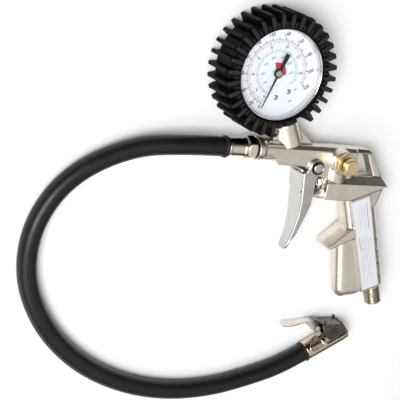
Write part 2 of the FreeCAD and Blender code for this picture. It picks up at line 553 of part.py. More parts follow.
# sector: a fan of teeth facing the pinion, on a pivot 22.5 mm away
SP = SA + math.pi
stp = 2 * math.pi / SECTOR_T
teeth = gear_profile(sx0, sy0, SECTOR_T, MODULE, SP + stp / 2.0, -9, 3)
fan = [(sx0 + 2.6 * math.cos(SP + 1.57), sy0 + 2.6 * math.sin(SP + 1.57))] + teeth[::-1] + \
      [(sx0 + 2.6 * math.cos(SP - 1.57), sy0 + 2.6 * math.sin(SP - 1.57))]
sector = prism(fan, -2.8, -1.8)
arm = [(sx0 + 1.6 * math.cos(SP + math.pi / 2), sy0 + 1.6 * math.sin(SP + math.pi / 2)),
       (sx0 + 1.6 * math.cos(SP - math.pi / 2), sy0 + 1.6 * math.sin(SP - math.pi / 2)),
       (sx0 - 5.0 * math.cos(SP) + 1.2 * math.cos(SP - math.pi / 2), sy0 - 5.0 * math.sin(SP) + 1.2 * math.sin(SP - math.pi / 2)),
       (sx0 - 5.0 * math.cos(SP) + 1.2 * math.cos(SP + math.pi / 2), sy0 - 5.0 * math.sin(SP) + 1.2 * math.sin(SP + math.pi / 2))]
sector = fuse([sector, prism(arm, -2.8, -1.8), cyl((sx0, sy0, -5.0), (sx0, sy0, 0.6), 1.0),
               cyl((sx0, sy0, -3.2), (sx0, sy0, -1.4), 2.6)])
add("sector_gear", sector)

# movement frame: two plates on pillars, screwed to the socket block
def mp(t, n):
    return D(t, n)


outline = [mp(19.5, 9.0), mp(19.5, -9.0), mp(8.0, -9.0), mp(4.0, -6.0), mp(-4.5, -6.0), mp(-6.5, 0), mp(-6.5, 26.5),
           mp(6.5, 26.5), mp(6.5, 9.0)]
low = prism(outline, -6.2, -5.2)
upp = prism(outline, 0.8, 1.8)
pil = []
for (t, n) in ((17.0, 6.5), (17.0, -6.5), (4.8, 24.8)):
    q = mp(t, n)
    pil.append(cyl((q[0], q[1], -5.2), (q[0], q[1], 0.8), 1.6))
frame_ = fuse([low, upp] + pil)
frame_ = cutall(frame_, [cyl((gx, gy, -5.3), (gx, gy, 3), 0.85), cyl((sx0, sy0, -5.1), (sx0, sy0, 3), 1.05)])
for s in (-1, 1):
    t = STEM_A + s * math.radians(17.5)
    px, py = gx + 17.5 * math.cos(t), gy + 17.5 * math.sin(t)
    frame_ = frame_.fuse(cyl((px, py, 1.8), (px, py, DIAL_Z - 0.6), 2.0)).cut(cyl((px, py, 2.4), (px, py, 8), 1.05))
frame_ = frame_.removeSplitter()
add("movement_frame", frame_)

# socket: block inside the case, shank through its wall, thread in the boss
q0, q1 = D(12.0), D(26.4)
blockp = prism([D(12.0, 8.0), D(12.0, -8.0), D(26.2, -8.0), D(26.2, 8.0)], -11.0, -6.2)
shank = cyl((D(24)[0], D(24)[1], 0), (D(54)[0], D(54)[1], 0), STEM_R)
neckb = prism([D(20.6, 4.86), D(20.6, -4.86), D(26.2, -4.86), D(26.2, 4.86)], -6.2, 4.6)
socket = fuse([blockp, shank, neckb])
socket = cutall(socket, [cyl((D(22)[0], D(22)[1], 0), (D(56)[0], D(56)[1], 0), 1.6)])
add("gauge_socket", socket)
wr = tube((D(36.2)[0], D(36.2)[1], 0), (D(39.4)[0], D(39.4)[1], 0), 7.8, STEM_R)
add("stem_seal", wr)

# bourdon tube: a flat C from the block round to a tip opposite
tb = []
R0 = 24.6
st = STEM_A + math.radians(22)
en = STEM_A + math.radians(22 + 250)
w0 = 1.4
ring_b = zrev([(R0 - w0, -11.0), (R0 + w0, -11.0), (R0 + w0, -6.8), (R0 - w0, -6.8)], gx, gy)
wedge = Part.makeCylinder(40, 30, V(gx, gy, -20), V(0, 0, 1), 250)
wedge.rotate(V(gx, gy, 0), V(0, 0, 1), math.degrees(st))
bour = ring_b.common(wedge)
foot = prism([D(22.4, 8.0), D(25.6, 8.0), (gx + 26.0 * math.cos(st), gy + 26.0 * math.sin(st)),
              (gx + 23.2 * math.cos(st), gy + 23.2 * math.sin(st))], -11.0, -6.8)
bour = fuse([bour, foot])
add("bourdon_tube", bour)
# link from the tube's tip towards the sector's tail
et = (gx + R0 * math.cos(en), gy + R0 * math.sin(en))

# rubber boot: ring with a lip, ribs outside and over the front shoulder
prof = [(25.0, BOOT_Z0), (36.2, BOOT_Z0), (BOOT_R, BOOT_Z0 + 1.6), (BOOT_R, 8.0), (36.3, 10.6), (35.1, 12.4), (33.9, BOOT_Z1),
        (32.8, BOOT_Z1), (LIP_R, BOOT_Z1 - 0.4), (LIP_R, BEZEL_Z), (33.5, BEZEL_Z), (BEZEL_R, BEZEL_Z - 0.5), (BEZEL_R, 7.4),
        (33.0, 7.4), (CASE_R, 7.4), (CASE_R, CASE_Z0), (25.0, CASE_Z0)]
boot = zrev(prof, gx, gy)
rp = [(BOOT_R - 1.6, BOOT_Z0 + 0.8), (RIB_R - 0.8, BOOT_Z0 + 0.8), (RIB_R, BOOT_Z0 + 1.6), (RIB_R, RIB_Z1 - 2.6),
      (RIB_R - 0.7, RIB_Z1 - 1.0), (RIB_R - 1.8, RIB_Z1 - 0.1), (RIB_R - 2.8, RIB_Z1), (33.6, 14.8), (32.9, 14.4), (32.9, 13.2),
      (34.3, 12.8), (34.7, 11.0), (BOOT_R - 1.8, 8.2)]
rring = zrev(rp, gx, gy)
bars = []
for i in range(RIBS):
    t = RIB_A0 + i * 2 * math.pi / RIBS
    if math.cos(t - STEM_A) > math.cos(math.radians(17)):
        continue                      # room for the stem
    c, s = math.cos(t), math.sin(t)
    pts = []
    for r, h in ((32.5, 1.35), (36.8, 1.75), (44.2, 1.25), (44.2, -1.25), (36.8, -1.75), (32.5, -1.35)):
        pts.append((gx + r * c - h * s, gy + r * s + h * c))
    bars.append(prism(pts, BOOT_Z0, 16))
ribs = rring.common(Part.makeCompound(bars))
boot = boot.fuse(ribs.Solids)
lug = []
for i in range(RIBS):
    t = RIB_A0 + (i + 0.5) * 2 * math.pi / RIBS
    c, s = math.cos(t), math.sin(t)
    pts = []
    low = []
    for r, h in ((33.0, 0.95), (36.9, 1.25), (36.9, -1.25), (33.0, -0.95)):
        pts.append((gx + r * c - h * s, gy + r * s + h * c))
    for r, h in ((34.5, 1.08), (36.9, 1.25), (36.9, -1.25), (34.5, -1.08)):
        low.append((gx + r * c - h * s, gy + r * s + h * c))
    lug.append(prism(pts, 13.2, 14.4))
    lug.append(prism(low, 8.0, 13.2))
boot = boot.fuse(lug).removeSplitter()
m0, m1 = D(24), D(48)
boot = boot.cut(cyl((m0[0], m0[1], 0), (m1[0], m1[1], 0), 9.6))
add("rubber_boot", boot)

# ============================================================== muzzle pieces
Y = BARREL_Y
M0 = NECK_X0 - 1.8            # rear face of the hexagon
M1 = M0 - 6.3                 # its front face
M2 = M1 - 15.1                # front end of the ferrule
M3 = M2 - 2.6                 # end of the collar, and start of the hose
add("hose_nut", cutall(fuse([hexa((M1, Y, 0), (M0, Y, 0), 15.8, 0), cyl((M0, Y, 0), (-40.2, Y, 0), 5.0)]),
                       [cyl((M1 - 1, Y, 0), (-38, Y, 0), 3.1)]))
add("muzzle_o_ring", axrev([(0, 5.0), (0.0, 7.2), (0.4, 7.7), (1.4, 7.7), (1.8, 7.2), (1.8, 5.0)],
                           (M0, Y, 0), (1, 0, 0)))
fer = axrev([(0, 0), (0, 6.7), (0.5, 7.1), (1.6, 7.1), (2.0, 6.8), (12.4, 6.8), (12.8, 7.3), (14.3, 7.3), (15.1, 6.9), (15.1, 0)],
            (M2, Y, 0), (1, 0, 0)).cut(cyl((M2 - 1, Y, 0), (M1 + 1, Y, 0), 3.1))
add("hose_ferrule", fer)
add("hose_tail", axrev([(0, 1.9), (0, 2.4), (1.2, 3.1), (-40.2 - M3 - 0.9, 3.1), (-40.2 - M3 - 0.9, 1.9)], (M3 + 0.9, Y, 0), (1, 0, 0)))
add("hose_collar", axrev([(0, 0), (0, 7.2), (0.5, 7.7), (1.6, 7.9), (2.6, 7.6), (2.6, 3.1), (0.9, 3.1), (0.9, 0)],
                         (M3, Y, 0), (1, 0, 0)).cut(cyl((M3 - 1, Y, 0), (M3 + 0.9, Y, 0), 1.9)))

# ======================================================================= hose
pts = [V(*p) for p in ROUTE]
edges = []
last = pts[0]
radii = []
true_len = 0.0
for i in range(1, len(pts) - 1):
    a_, b_, c_ = pts[i - 1], pts[i], pts[i + 1]
    d1 = b_.sub(a_)
    d2 = c_.sub(b_)
    l1, l2 = d1.Length, d2.Length
    d1.normalize()
    d2.normalize()
    half = 0.5 * math.acos(max(-1, min(1, d1.dot(d2))))
    cut_len = 0.45 * min(l1, l2)
    r = cut_len / math.tan(half)
    radii.append(round(r, 1))
    t1 = b_.sub(V(d1).multiply(cut_len))
    t2 = b_.add(V(d2).multiply(cut_len))
    bis = d2.sub(d1)
    bis.normalize()
    centre = b_.add(V(bis).multiply(r / math.cos(half)))
    mid = centre.sub(V(bis).multiply(r))
    edges.append(Part.LineSegment(last, t1).toShape())
    edges.append(Part.Arc(t1, mid, t2).toShape())
    last = t2
edges.append(Part.LineSegment(last, pts[-1]).toShape())
path = Part.Wire(edges)
true_len = path.Length
d0 = pts[1].sub(pts[0])
hw = Part.Wire([Part.Circle(pts[0], d0, HOSE_R).toShape()])
hose = path.makePipeShell([hw], True, False)
want = math.pi * HOSE_R ** 2 * true_len
print("hose radii", radii)
print("hose length %.1f mm, volume %.0f against %.0f" % (true_len, hose.Volume, want))
add("hose", hose)

# ====================================================================== chuck
cz = CK[2]


def C(u, w=0.0, z=0.0):
    x_, y_ = U(u, w)
    return (x_, y_, cz + z)


UD = (UX, UY, 0)
WD = (-UY, UX, 0)
add("chuck_collar", axrev([(0, 0), (0, 7.4), (0.3, 7.9), (1.1, 8.1), (1.8, 7.7), (1.8, 3.1), (0.9, 3.1), (0.9, 0)],
                          C(-3.7), UD).cut(cyl(C(-4.5), C(-2.8), 1.9)))
add("chuck_tail", axrev([(0, 1.9), (0, 3.1), (12.8, 3.1), (12.8, 1.9)], C(-2.8), UD))
shell = axrev([(-1.9, 0), (-1.9, 7.2), (-1.4, CHUCK_R), (30, CHUCK_R), (34.6, 7.3), (CHUCK_LEN, 5.9), (CHUCK_LEN, 0)], C(0), UD)


def cprism(pts_, z0, z1):
    return prism([U(*q) for q in pts_], cz + z0, cz + z1)


# flats for the clip's cheeks, and the lug that carries its pivot
flat1 = cprism([(15.6, 0.4), (40, 0.4), (40, 12), (15.6, 12)], 6.0, 12)
flat2 = cprism([(15.6, 0.4), (40, 0.4), (40, 12), (15.6, 12)], -12, -6.0)
lugc = fuse([cprism([(12.6, 5.0), (11.6, 11.6), (10.7, 15.0), (15.8, 15.0), (16.4, 12.0), (19.0, 5.0)], -LUG, LUG),
             cyl(C(CK_PIV[0], CK_PIV[1], -LUG), C(CK_PIV[0], CK_PIV[1], LUG), 2.6)])
lugc = lugc.cut(cprism([(8, 9.6), (20, 9.6), (20, 20), (8, 20)], -1.35, 1.35))
cb = fuse([shell, lugc])
cb = cutall(cb, [flat1, flat2, cyl(C(-3), C(10.0), 3.1), cyl(C(9), C(24.5), 1.9), cyl(C(24.0), C(27), 4.7),
                 cyl(C(27.0), C(CHUCK_LEN + 1), MOUTH_R),
                 cyl(C(CK_PIV[0], CK_PIV[1], -12), C(CK_PIV[0], CK_PIV[1], 12), 1.4)])
# raised oval frame with a sunk face on the side of the body, left bare
def oval(u0_, u1_, w0_, w1_, z0_, z1_):
    r_ = (w1_ - w0_) / 2
    wm = (w0_ + w1_) / 2
    return fuse([cprism([(u0_ + r_, w0_), (u1_ - r_, w0_), (u1_ - r_, w1_), (u0_ + r_, w1_)], z0_, z1_),
                 cyl(C(u0_ + r_, wm, z0_), C(u0_ + r_, wm, z1_), r_), cyl(C(u1_ - r_, wm, z0_), C(u1_ - r_, wm, z1_), r_)])


rim_o = oval(1.2, 13.4, 1.0, 6.4, 3.0, 9).common(cyl(C(0), C(15), CHUCK_R + 0.35))
cb = cb.fuse(rim_o).cut(oval(1.9, 12.7, 1.7, 5.7, 3.0, 12).cut(cyl(C(-2), C(16), CHUCK_R - 0.4)))
add("chuck_body", cb)
add("chuck_seal", tube(C(24.0), C(27.0), 4.7, 1.9))
add("chuck_depressor", fuse([tube(C(10.0), C(12.0), 1.9, 1.0), cyl(C(12.0), C(26.6), 0.9).fuse(
    cprism([(11.0, 0.55), (13.0, 0.55), (13.0, -0.55), (11.0, -0.55)], -1.6, 1.6))]))

# clip: cheeks either side, a top plate with a toothed lip, hinge ears and a thumb tab
ck_out = [(17.6, 17.9), (16.2, 16.9), (15.5, 15.6), (15.9, 13.4), (14.9, 12.0), (17.7, 3.4), (18.6, 2.6), (26.1, 1.8),
          (33.2, 1.0), (34.3, 2.0), (34.0, 6.0), (33.2, 9.6)]
ch = cprism(ck_out, 6.3, 7.5).fuse(cprism(ck_out, -7.5, -6.3))
bridge = cprism([(17.6, 17.9), (33.2, 9.6), (32.7, 8.5), (17.2, 16.7)], -7.5, 7.5)
lip = []
for z0_, z1_, h_ in ((-7.5, -5.4, 2.2), (-3.3, -1.3, 1.0), (0.9, 6.4, 1.2)):
    lip.append(cprism([(31.9, 10.2), (33.2, 9.6), (33.5, 9.9 + h_ * 0.45), (33.1, 9.9 + h_), (32.2, 10.1 + h_ * 0.7)], z0_, z1_))
prof_t = [(18.4, 17.2), (17.6, 17.9), (16.4, 20.4), (14.1, 22.3), (11.0, 23.5), (7.0, 25.1), (3.0, 26.6), (0.0, 27.7), (-3.4, 29.0),
          (-7.6, 30.8), (-11.0, 32.2), (-13.8, 33.4)]
prof_b = []
for i in range(len(prof_t)):
    j0, j1 = max(0, i - 1), min(len(prof_t) - 1, i + 1)
    du, dw = prof_t[j1][0] - prof_t[j0][0], prof_t[j1][1] - prof_t[j0][1]
    L_ = math.hypot(du, dw)
    prof_b.append((prof_t[i][0] - dw / L_ * 1.2, prof_t[i][1] + du / L_ * 1.2))
tabw = cprism(prof_t + prof_b[::-1], -6.0, 6.0)
# outline of the tab seen from above: a neck that widens to a round thumb pad
wid = [(18.5, 5.4), (15.4, 3.9), (12.0, 3.4), (6.0, 3.2), (0.0, 3.3), (-3.0, 4.2), (-6.5, 5.1), (-10.0, 5.2), (-12.2, 4.5), (-13.3, 3.2),
       (-13.8, 1.4)]
ol = [(u_, z_) for u_, z_ in wid] + [(u_, -z_) for u_, z_ in wid[::-1]]
ol = [V(*C(u_, 10.0, z_)) for u_, z_ in ol]
tabw = tabw.common(Part.Face(Part.makePolygon(ol + [ol[0]])).extrude(V(WD[0], WD[1], 0).multiply(30)))
fl = []
ear = [(17.2, 17.8), (16.2, 19.8), (13.9, 21.6), (11.0, 22.8), (4.4, 25.4), (5.6, 23.6), (9.7, 13.7), (10.6, 12.7), (12.0, 12.1),
       (14.0, 12.1), (15.6, 13.0), (16.5, 14.6)]
for z0_, z1_ in ((2.4, 3.4), (-3.4, -2.4)):
    fl.append(cprism(ear, z0_, z1_))
# small stud on the plate
n_ = (0.47, 0.883)
stud = cyl(C(20.0 - n_[0] * 0.6, 16.6 - n_[1] * 0.6, 4.0), C(20.0 + n_[0] * 1.9, 16.6 + n_[1] * 1.9, 4.0), 1.15)
stud = stud.cut(cyl(C(20.0 + n_[0] * 1.3, 16.6 + n_[1] * 1.3, 4.0), C(20.0 + n_[0] * 3, 16.6 + n_[1] * 3, 4.0), 0.65))
clipb = fuse([ch, bridge, tabw, stud] + lip + fl)
clipb = cutall(clipb, [cyl(C(CK_PIV[0], CK_PIV[1], -12), C(CK_PIV[0], CK_PIV[1], 12), 1.45)])
for z0_ in (6.0, -8.0):
    for w_ in (3.6, 5.8, 8.0):
        clipb = clipb.cut(cprism([(34.8, w_ - 0.8), (33.4, w_), (34.8, w_ + 0.8)], z0_, z0_ + 2.0))
add("chuck_clip", clipb)
add("chuck_pin", fuse([cyl(C(CK_PIV[0], CK_PIV[1], -4.3), C(CK_PIV[0], CK_PIV[1], 3.6), 1.4),
                       cone(C(CK_PIV[0], CK_PIV[1], 3.5), C(CK_PIV[0], CK_PIV[1], 4.3), 2.5, 2.1),
                       cyl(C(CK_PIV[0], CK_PIV[1], -4.3), C(CK_PIV[0], CK_PIV[1], -3.5), 2.3)]))
# torsion spring round the pin: one leg down into the body's slot, one up to the clip
pc = C(CK_PIV[0], CK_PIV[1], 0)
tsp = coil((pc[0], pc[1], cz - 0.85), (0, 0, 1), 2.0, 0.7, 1.7, 2.0)
tsp.rotate(V(*pc), V(0, 0, 1), 29.24)
leg1 = cyl(C(CK_PIV[0] + 2.05, CK_PIV[1] + 0.6, -0.85), C(CK_PIV[0] + 2.05, 10.1, -0.85), 0.4)
leg2 = cyl(C(CK_PIV[0] + 2.05, CK_PIV[1] - 0.6, 0.85), C(CK_PIV[0] + 2.05, CK_PIV[1] + 3.4, 0.85), 0.4)
add("chuck_spring", fuse([tsp, leg1, leg2]))

# ===================================================================== output
os.makedirs("parts", exist_ok=True)
move = V(OX, OY, OZ)
bb_ = None
cord = {"hose", "chuck_collar", "chuck_tail", "chuck_body", "chuck_seal", "chuck_depressor", "chuck_clip", "chuck_pin",
        "chuck_spring"}
for name, s in sorted(parts.items()):
    t = s.copy()
    t.translate(move)
    t.exportStep("parts/%s.step" % name)
    if name not in cord:
        b = t.BoundBox
        if bb_ is None:
            bb_ = FreeCAD.BoundBox(b)
        else:
            bb_.add(b)
print("nodes", len(parts))
print("gun box x %.2f %.2f  y %.2f %.2f  z %.2f %.2f" % (bb_.XMin, bb_.XMax, bb_.YMin, bb_.YMax, bb_.ZMin, bb_.ZMax))
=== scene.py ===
"""Looks of the tyre inflator gun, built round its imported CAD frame."""
import json
import math

import bmesh
import bpy
from mathutils import Matrix, Vector

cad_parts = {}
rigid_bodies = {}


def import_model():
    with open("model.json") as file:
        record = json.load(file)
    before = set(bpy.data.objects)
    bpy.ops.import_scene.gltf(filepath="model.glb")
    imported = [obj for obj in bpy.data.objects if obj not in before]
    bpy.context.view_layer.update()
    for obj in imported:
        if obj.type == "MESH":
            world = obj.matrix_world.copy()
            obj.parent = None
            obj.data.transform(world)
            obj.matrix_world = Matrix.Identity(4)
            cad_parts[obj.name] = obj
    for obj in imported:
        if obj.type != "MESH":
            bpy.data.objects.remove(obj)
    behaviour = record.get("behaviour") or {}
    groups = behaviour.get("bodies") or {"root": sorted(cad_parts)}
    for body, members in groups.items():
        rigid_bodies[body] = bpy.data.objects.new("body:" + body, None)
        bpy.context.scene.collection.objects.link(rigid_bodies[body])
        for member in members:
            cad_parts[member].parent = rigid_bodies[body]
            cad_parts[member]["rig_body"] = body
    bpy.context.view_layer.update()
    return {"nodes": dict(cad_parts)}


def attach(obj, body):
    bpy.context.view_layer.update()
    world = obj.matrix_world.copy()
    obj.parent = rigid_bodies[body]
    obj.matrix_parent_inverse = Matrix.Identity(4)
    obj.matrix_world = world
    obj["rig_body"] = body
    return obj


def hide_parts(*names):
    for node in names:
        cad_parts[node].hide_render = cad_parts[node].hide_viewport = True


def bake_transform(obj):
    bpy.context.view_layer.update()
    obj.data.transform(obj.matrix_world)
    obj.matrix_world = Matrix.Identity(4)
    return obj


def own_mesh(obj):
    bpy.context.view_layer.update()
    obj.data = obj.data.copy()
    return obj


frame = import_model()
N = frame["nodes"]

# the row frame is the gun's own drawing frame moved by these, in millimetres
OX, OY, OZ = 5.2, 7.4, 15.5
RAKE = math.radians(20.6)
RX, RY = math.sin(RAKE), -math.cos(RAKE)
SX, SY = math.cos(RAKE), math.sin(RAKE)
GC = (-51.4, 58.2)
STEM_A = math.radians(-63.5)
DIAL_Z = 5.6
CK = (32.49, -158.38, -7.7)
CK_A = math.radians(29.24)
UX, UY = math.cos(CK_A), math.sin(CK_A)


def W(x, y, z=0.0):
    """Drawing point in mm to the row frame in metres."""
    return Vector(((x + OX) / 1000, (y + OY) / 1000, (z + OZ) / 1000))


def H(p, q):
    return (p * RX + q * SX, p * RY + q * SY)


def link(ob):
    bpy.context.scene.collection.objects.link(ob)
    return ob


# ------------------------------------------------------------------ camera
cam_data = bpy.data.cameras.new("camera")
cam_data.sensor_width = 36.0
cam_data.lens = 1257.0 / 400.0 * 36.0
cam_data.clip_start, cam_data.clip_end = 0.05, 20.0
cam = link(bpy.data.objects.new("camera", cam_data))
right = Vector((0.87954, 0.179263, 0.440765))
down = Vector((0.029545, -0.945106, 0.325427))
ahead = Vector((0.474907, -0.273204, -0.836555))
m = Matrix.Identity(4)
for r_ in range(3):
    m[r_][0], m[r_][1], m[r_][2] = right[r_], -down[r_], -ahead[r_]
pos = W(-503.798, 201.497, 730.531)
for r_ in range(3):
    m[r_][3] = pos[r_]
cam.matrix_world = m
bpy.context.scene.camera = cam

# -------------------------------------------------------------------- hose
ROUTE = [(-79.4, 2.4, 0.0), (-108.5, 2.4, 0.0), (-145.0, -2.4, -5.2),
         (-184.5, -24.0, -8.0), (-205.5, -57.5, -8.5), (-207.0, -96.5, -8.5),
         (-189.5, -132.5, -8.5), (-161.0, -160.5, -8.5), (-125.5, -179.0, -8.5),
         (-86.5, -188.0, -8.5), (-46.5, -187.0, -8.5), (-11.8, -178.2, -8.3),
         (11.112, -170.347, -7.7), (29.244, -160.197, -7.7)]
cu = bpy.data.curves.new("hose_line", "CURVE")
cu.dimensions = "3D"
sp = cu.splines.new("NURBS")
sp.points.add(len(ROUTE) - 1)
for pt, q in zip(sp.points, ROUTE):
    v = W(*q)
    pt.co = (v.x, v.y, v.z, 1.0)
sp.order_u = 3
sp.use_endpoint_u = True
sp.resolution_u = 12
cu.bevel_depth = 0.007
cu.bevel_resolution = 10
cu.use_fill_caps = True
hose = link(bpy.data.objects.new("air_hose", cu))


# --------------------------------------------------------------- materials
class Mat:
    """A Principled material with its patterns in object coordinates, in metres."""

    def __init__(self, name, **const):
        self.m = bpy.data.materials.new(name)
        self.m.use_nodes = True
        self.nt = self.m.node_tree
        self.b = self.nt.nodes["Principled BSDF"]
        self.out = self.nt.nodes["Material Output"]
        self.tc = self.nt.nodes.new("ShaderNodeTexCoord")
        self.height = None
        for k, v in const.items():
            key = {"metallic": "Metallic", "coat": "Coat Weight", "coat_rough": "Coat Roughness", "ior": "IOR",
                   "aniso": "Anisotropic", "spec": "Specular IOR Level", "sheen": "Sheen Weight"}[k]
            self.b.inputs[key].default_value = v

    def coord(self, scale=(1, 1, 1), rot=(0, 0, 0)):
        mp = self.nt.nodes.new("ShaderNodeMapping")
        mp.inputs["Scale"].default_value = scale
        mp.inputs["Rotation"].default_value = rot
        self.nt.links.new(self.tc.outputs["Object"], mp.inputs["Vector"])
        return mp.outputs["Vector"]

    def noise(self, scale, detail=4.0, rough=0.55, distort=0.0, stretch=(1, 1, 1), rot=(0, 0, 0)):
        n = self.nt.nodes.new("ShaderNodeTexNoise")
        n.inputs["Scale"].default_value = scale
        n.inputs["Detail"].default_value = detail
        n.inputs["Roughness"].default_value = rough
        n.inputs["Distortion"].default_value = distort
        self.nt.links.new(self.coord(stretch, rot), n.inputs["Vector"])
        return n.outputs["Fac"]

    def spots(self, scale, feature="F1", stretch=(1, 1, 1)):
        n = self.nt.nodes.new("ShaderNodeTexVoronoi")
        n.feature = feature
        n.inputs["Scale"].default_value = scale
        self.nt.links.new(self.coord(stretch), n.inputs["Vector"])
        return n.outputs["Distance"]

    def ramp(self, fac, stops):
        r = self.nt.nodes.new("ShaderNodeValToRGB")
        while len(r.color_ramp.elements) < len(stops):
            r.color_ramp.elements.new(0.5)
        for e, (p, c) in zip(r.color_ramp.elements, stops):
            e.position = p
            e.color = (*c, 1.0) if len(c) == 3 else c
        self.nt.links.new(fac, r.inputs["Fac"])
        return r.outputs["Color"]

    def span(self, fac, lo, hi, f0=0.3, f1=0.7):
        r = self.nt.nodes.new("ShaderNodeMapRange")
        r.inputs["From Min"].default_value, r.inputs["From Max"].default_value = f0, f1
        r.inputs["To Min"].default_value, r.inputs["To Max"].default_value = lo, hi
        self.nt.links.new(fac, r.inputs["Value"])
        return r.outputs["Result"]

    def mix(self, a, b, fac):
        x = self.nt.nodes.new("ShaderNodeMix")
        x.data_type = "RGBA"
        if isinstance(fac, float):
            x.inputs["Factor"].default_value = fac
        else:
            self.nt.links.new(fac, x.inputs["Factor"])
        for s_, v in (("A", a), ("B", b)):
            i = [q for q in x.inputs if q.name == s_ and q.type == "RGBA"][0]
            if isinstance(v, tuple):
                i.default_value = (*v, 1.0)
            else:
                self.nt.links.new(v, i)
        return [q for q in x.outputs if q.type == "RGBA"][0]

    def color(self, sock):
        self.nt.links.new(sock, self.b.inputs["Base Color"])
        return self

    def rough(self, sock):
        self.nt.links.new(sock, self.b.inputs["Roughness"])
        return self

    def bump(self, sock, strength, distance):
        b = self.nt.nodes.new("ShaderNodeBump")
        b.inputs["Strength"].default_value = strength
        b.inputs["Distance"].default_value = distance
        self.nt.links.new(sock, b.inputs["Height"])
        if self.height is not None:
            self.nt.links.new(self.height, b.inputs["Normal"])
        self.height = b.outputs["Normal"]
        self.nt.links.new(self.height, self.b.inputs["Normal"])
        return self


def metal(name, c1, c2, r0, r1, grain=900.0, bump=0.25, depth=0.00004, wave=0.0, scratch=0.0, stretch=(1, 1, 1), **k):
    """Metal: slow change of tone, fine grain in the bump, and roughness that varies with both."""
    x = Mat(name, metallic=1.0, **k)
    slow = x.noise(70.0, 3.0)
    fine = x.noise(grain, 5.0, 0.6, stretch=stretch)
    x.color(x.mix(x.ramp(slow, [(0.35, c1), (0.7, c2)]), x.ramp(fine, [(0.3, tuple(v * 0.82 for v in c2)), (0.7, c1)]), 0.35))
    x.rough(x.span(x.mix(slow_rgb(x, slow), slow_rgb(x, fine), 0.5), r0, r1, 0.3, 0.7))
    if wave:
        x.bump(x.noise(160.0, 2.0), wave, 0.0003)
    x.bump(fine, bump, depth)
    if scratch:
        x.bump(x.noise(420.0, 3.0, 0.7, stretch=(0.15, 0.15, 6.0)), scratch, 0.00002)
    return x.m


def slow_rgb(x, s):
    return s


cast = metal("cast_zinc_alloy", (0.84, 0.775, 0.68), (0.71, 0.645, 0.55), 0.24, 0.38, grain=780.0, bump=1.0, depth=0.00015,
             wave=0.12)


def polished_lever(name):
    """Polished lever: bare and bright, with painted shade in the dish round its pin."""
    x = Mat(name, metallic=1.0)
    slow = x.noise(70.0, 3.0)
    fine = x.noise(600.0, 5.0, 0.6)
    bare = x.mix(x.ramp(slow, [(0.35, (0.64, 0.63, 0.60)), (0.7, (0.54, 0.53, 0.505))]), (0.48, 0.475, 0.45), x.span(fine, 0.0, 0.5))
    at = x.nt.nodes.new("ShaderNodeVectorMath")
    at.operation = "SUBTRACT"
    at.inputs[1].default_value = tuple(W(-4.0, -7.2, 0.0))
    x.nt.links.new(x.tc.outputs["Object"], at.inputs[0])
    part = x.nt.nodes.new("ShaderNodeSeparateXYZ")
    x.nt.links.new(at.outputs["Vector"], part.inputs["Vector"])
    flat = x.nt.nodes.new("ShaderNodeCombineXYZ")
    x.nt.links.new(part.outputs["X"], flat.inputs["X"])
    x.nt.links.new(part.outputs["Y"], flat.inputs["Y"])
    far = x.nt.nodes.new("ShaderNodeVectorMath")
    far.operation = "LENGTH"
    x.nt.links.new(flat.outputs["Vector"], far.inputs[0])
    # painted shade: the lever is painted dark within about 5 mm of its pivot, in the dish round the pin
    painted_dish_shade = x.span(far.outputs["Value"], 1.0, 0.0, 0.0048, 0.0054)
    x.color(x.mix(bare, (0.10, 0.09, 0.08), painted_dish_shade))
    x.rough(x.span(slow, 0.12, 0.22))
    x.bump(x.noise(120.0, 2.0), 0.22, 0.0004)
    x.bump(fine, 0.10, 0.00003)
    return x.m


polished = polished_lever("polished_alloy")
chrome = metal("plated_steel", (0.82, 0.76, 0.67), (0.74, 0.68, 0.59), 0.08, 0.18, grain=900.0, bump=0.06, wave=0.03)


def plated_clip(name):
    """Chrome clamp painted dark as a painted reflection of dark surroundings, kept bright on its sharp edges as painted
    highlights and bare chrome on its thumb tab.
    """
    x = Mat(name, metallic=1.0)
    slow = x.noise(90.0, 3.0)
    fine = x.noise(900.0, 5.0, 0.6)
    dark = x.ramp(slow, [(0.35, (0.15, 0.13, 0.105)), (0.7, (0.07, 0.06, 0.05))])
    bare = x.ramp(slow, [(0.35, (0.82, 0.77, 0.68)), (0.7, (0.70, 0.65, 0.56))])
    geo = x.nt.nodes.new("ShaderNodeNewGeometry")
    edge = x.span(geo.outputs["Pointiness"], 0.0, 0.85, 0.54, 0.66)
    dot = x.nt.nodes.new("ShaderNodeVectorMath")
    dot.operation = "DOT_PRODUCT"
    dot.inputs[1].default_value = (UX, UY, 0.0)
    x.nt.links.new(x.tc.outputs["Object"], dot.inputs[0])
    c = W(*CK)
    at = c.x * UX + c.y * UY
    tab = x.span(dot.outputs["Value"], 1.0, 0.0, at + 0.0085, at + 0.0125)
    # painted reflection and painted highlight: dark over the clamp, bright chrome on its sharp edges (pointiness) and
    # on the thumb tab
    x.color(x.mix(x.mix(dark, bare, edge), bare, tab))
    x.rough(x.span(fine, 0.10, 0.24))
    x.bump(x.noise(170.0, 2.0), 0.10, 0.0003)
    x.bump(fine, 0.1, 0.00004)
    return x.m


dark_chrome = plated_clip("plated_stamping")
tab_metal = metal("plated_tab", (0.76, 0.72, 0.63), (0.66, 0.62, 0.54), 0.22, 0.34, grain=900.0, bump=0.15, wave=0.06)
nickel = metal("nickelled_body", (0.72, 0.63, 0.50), (0.60, 0.52, 0.41), 0.10, 0.20, grain=1100.0, bump=0.2, wave=0.06)
steel = metal("turned_steel", (0.66, 0.64, 0.60), (0.55, 0.535, 0.50), 0.20, 0.34, grain=1200.0, bump=0.2, stretch=(1, 1, 5))
brass = metal("turned_brass", (0.88, 0.69, 0.40), (0.79, 0.59, 0.31), 0.30, 0.42, grain=1100.0, bump=0.3, wave=0.04)
nipple_metal = metal("nickelled_thread", (0.72, 0.655, 0.55), (0.56, 0.50, 0.41), 0.16, 0.30, grain=1200.0, bump=0.2)


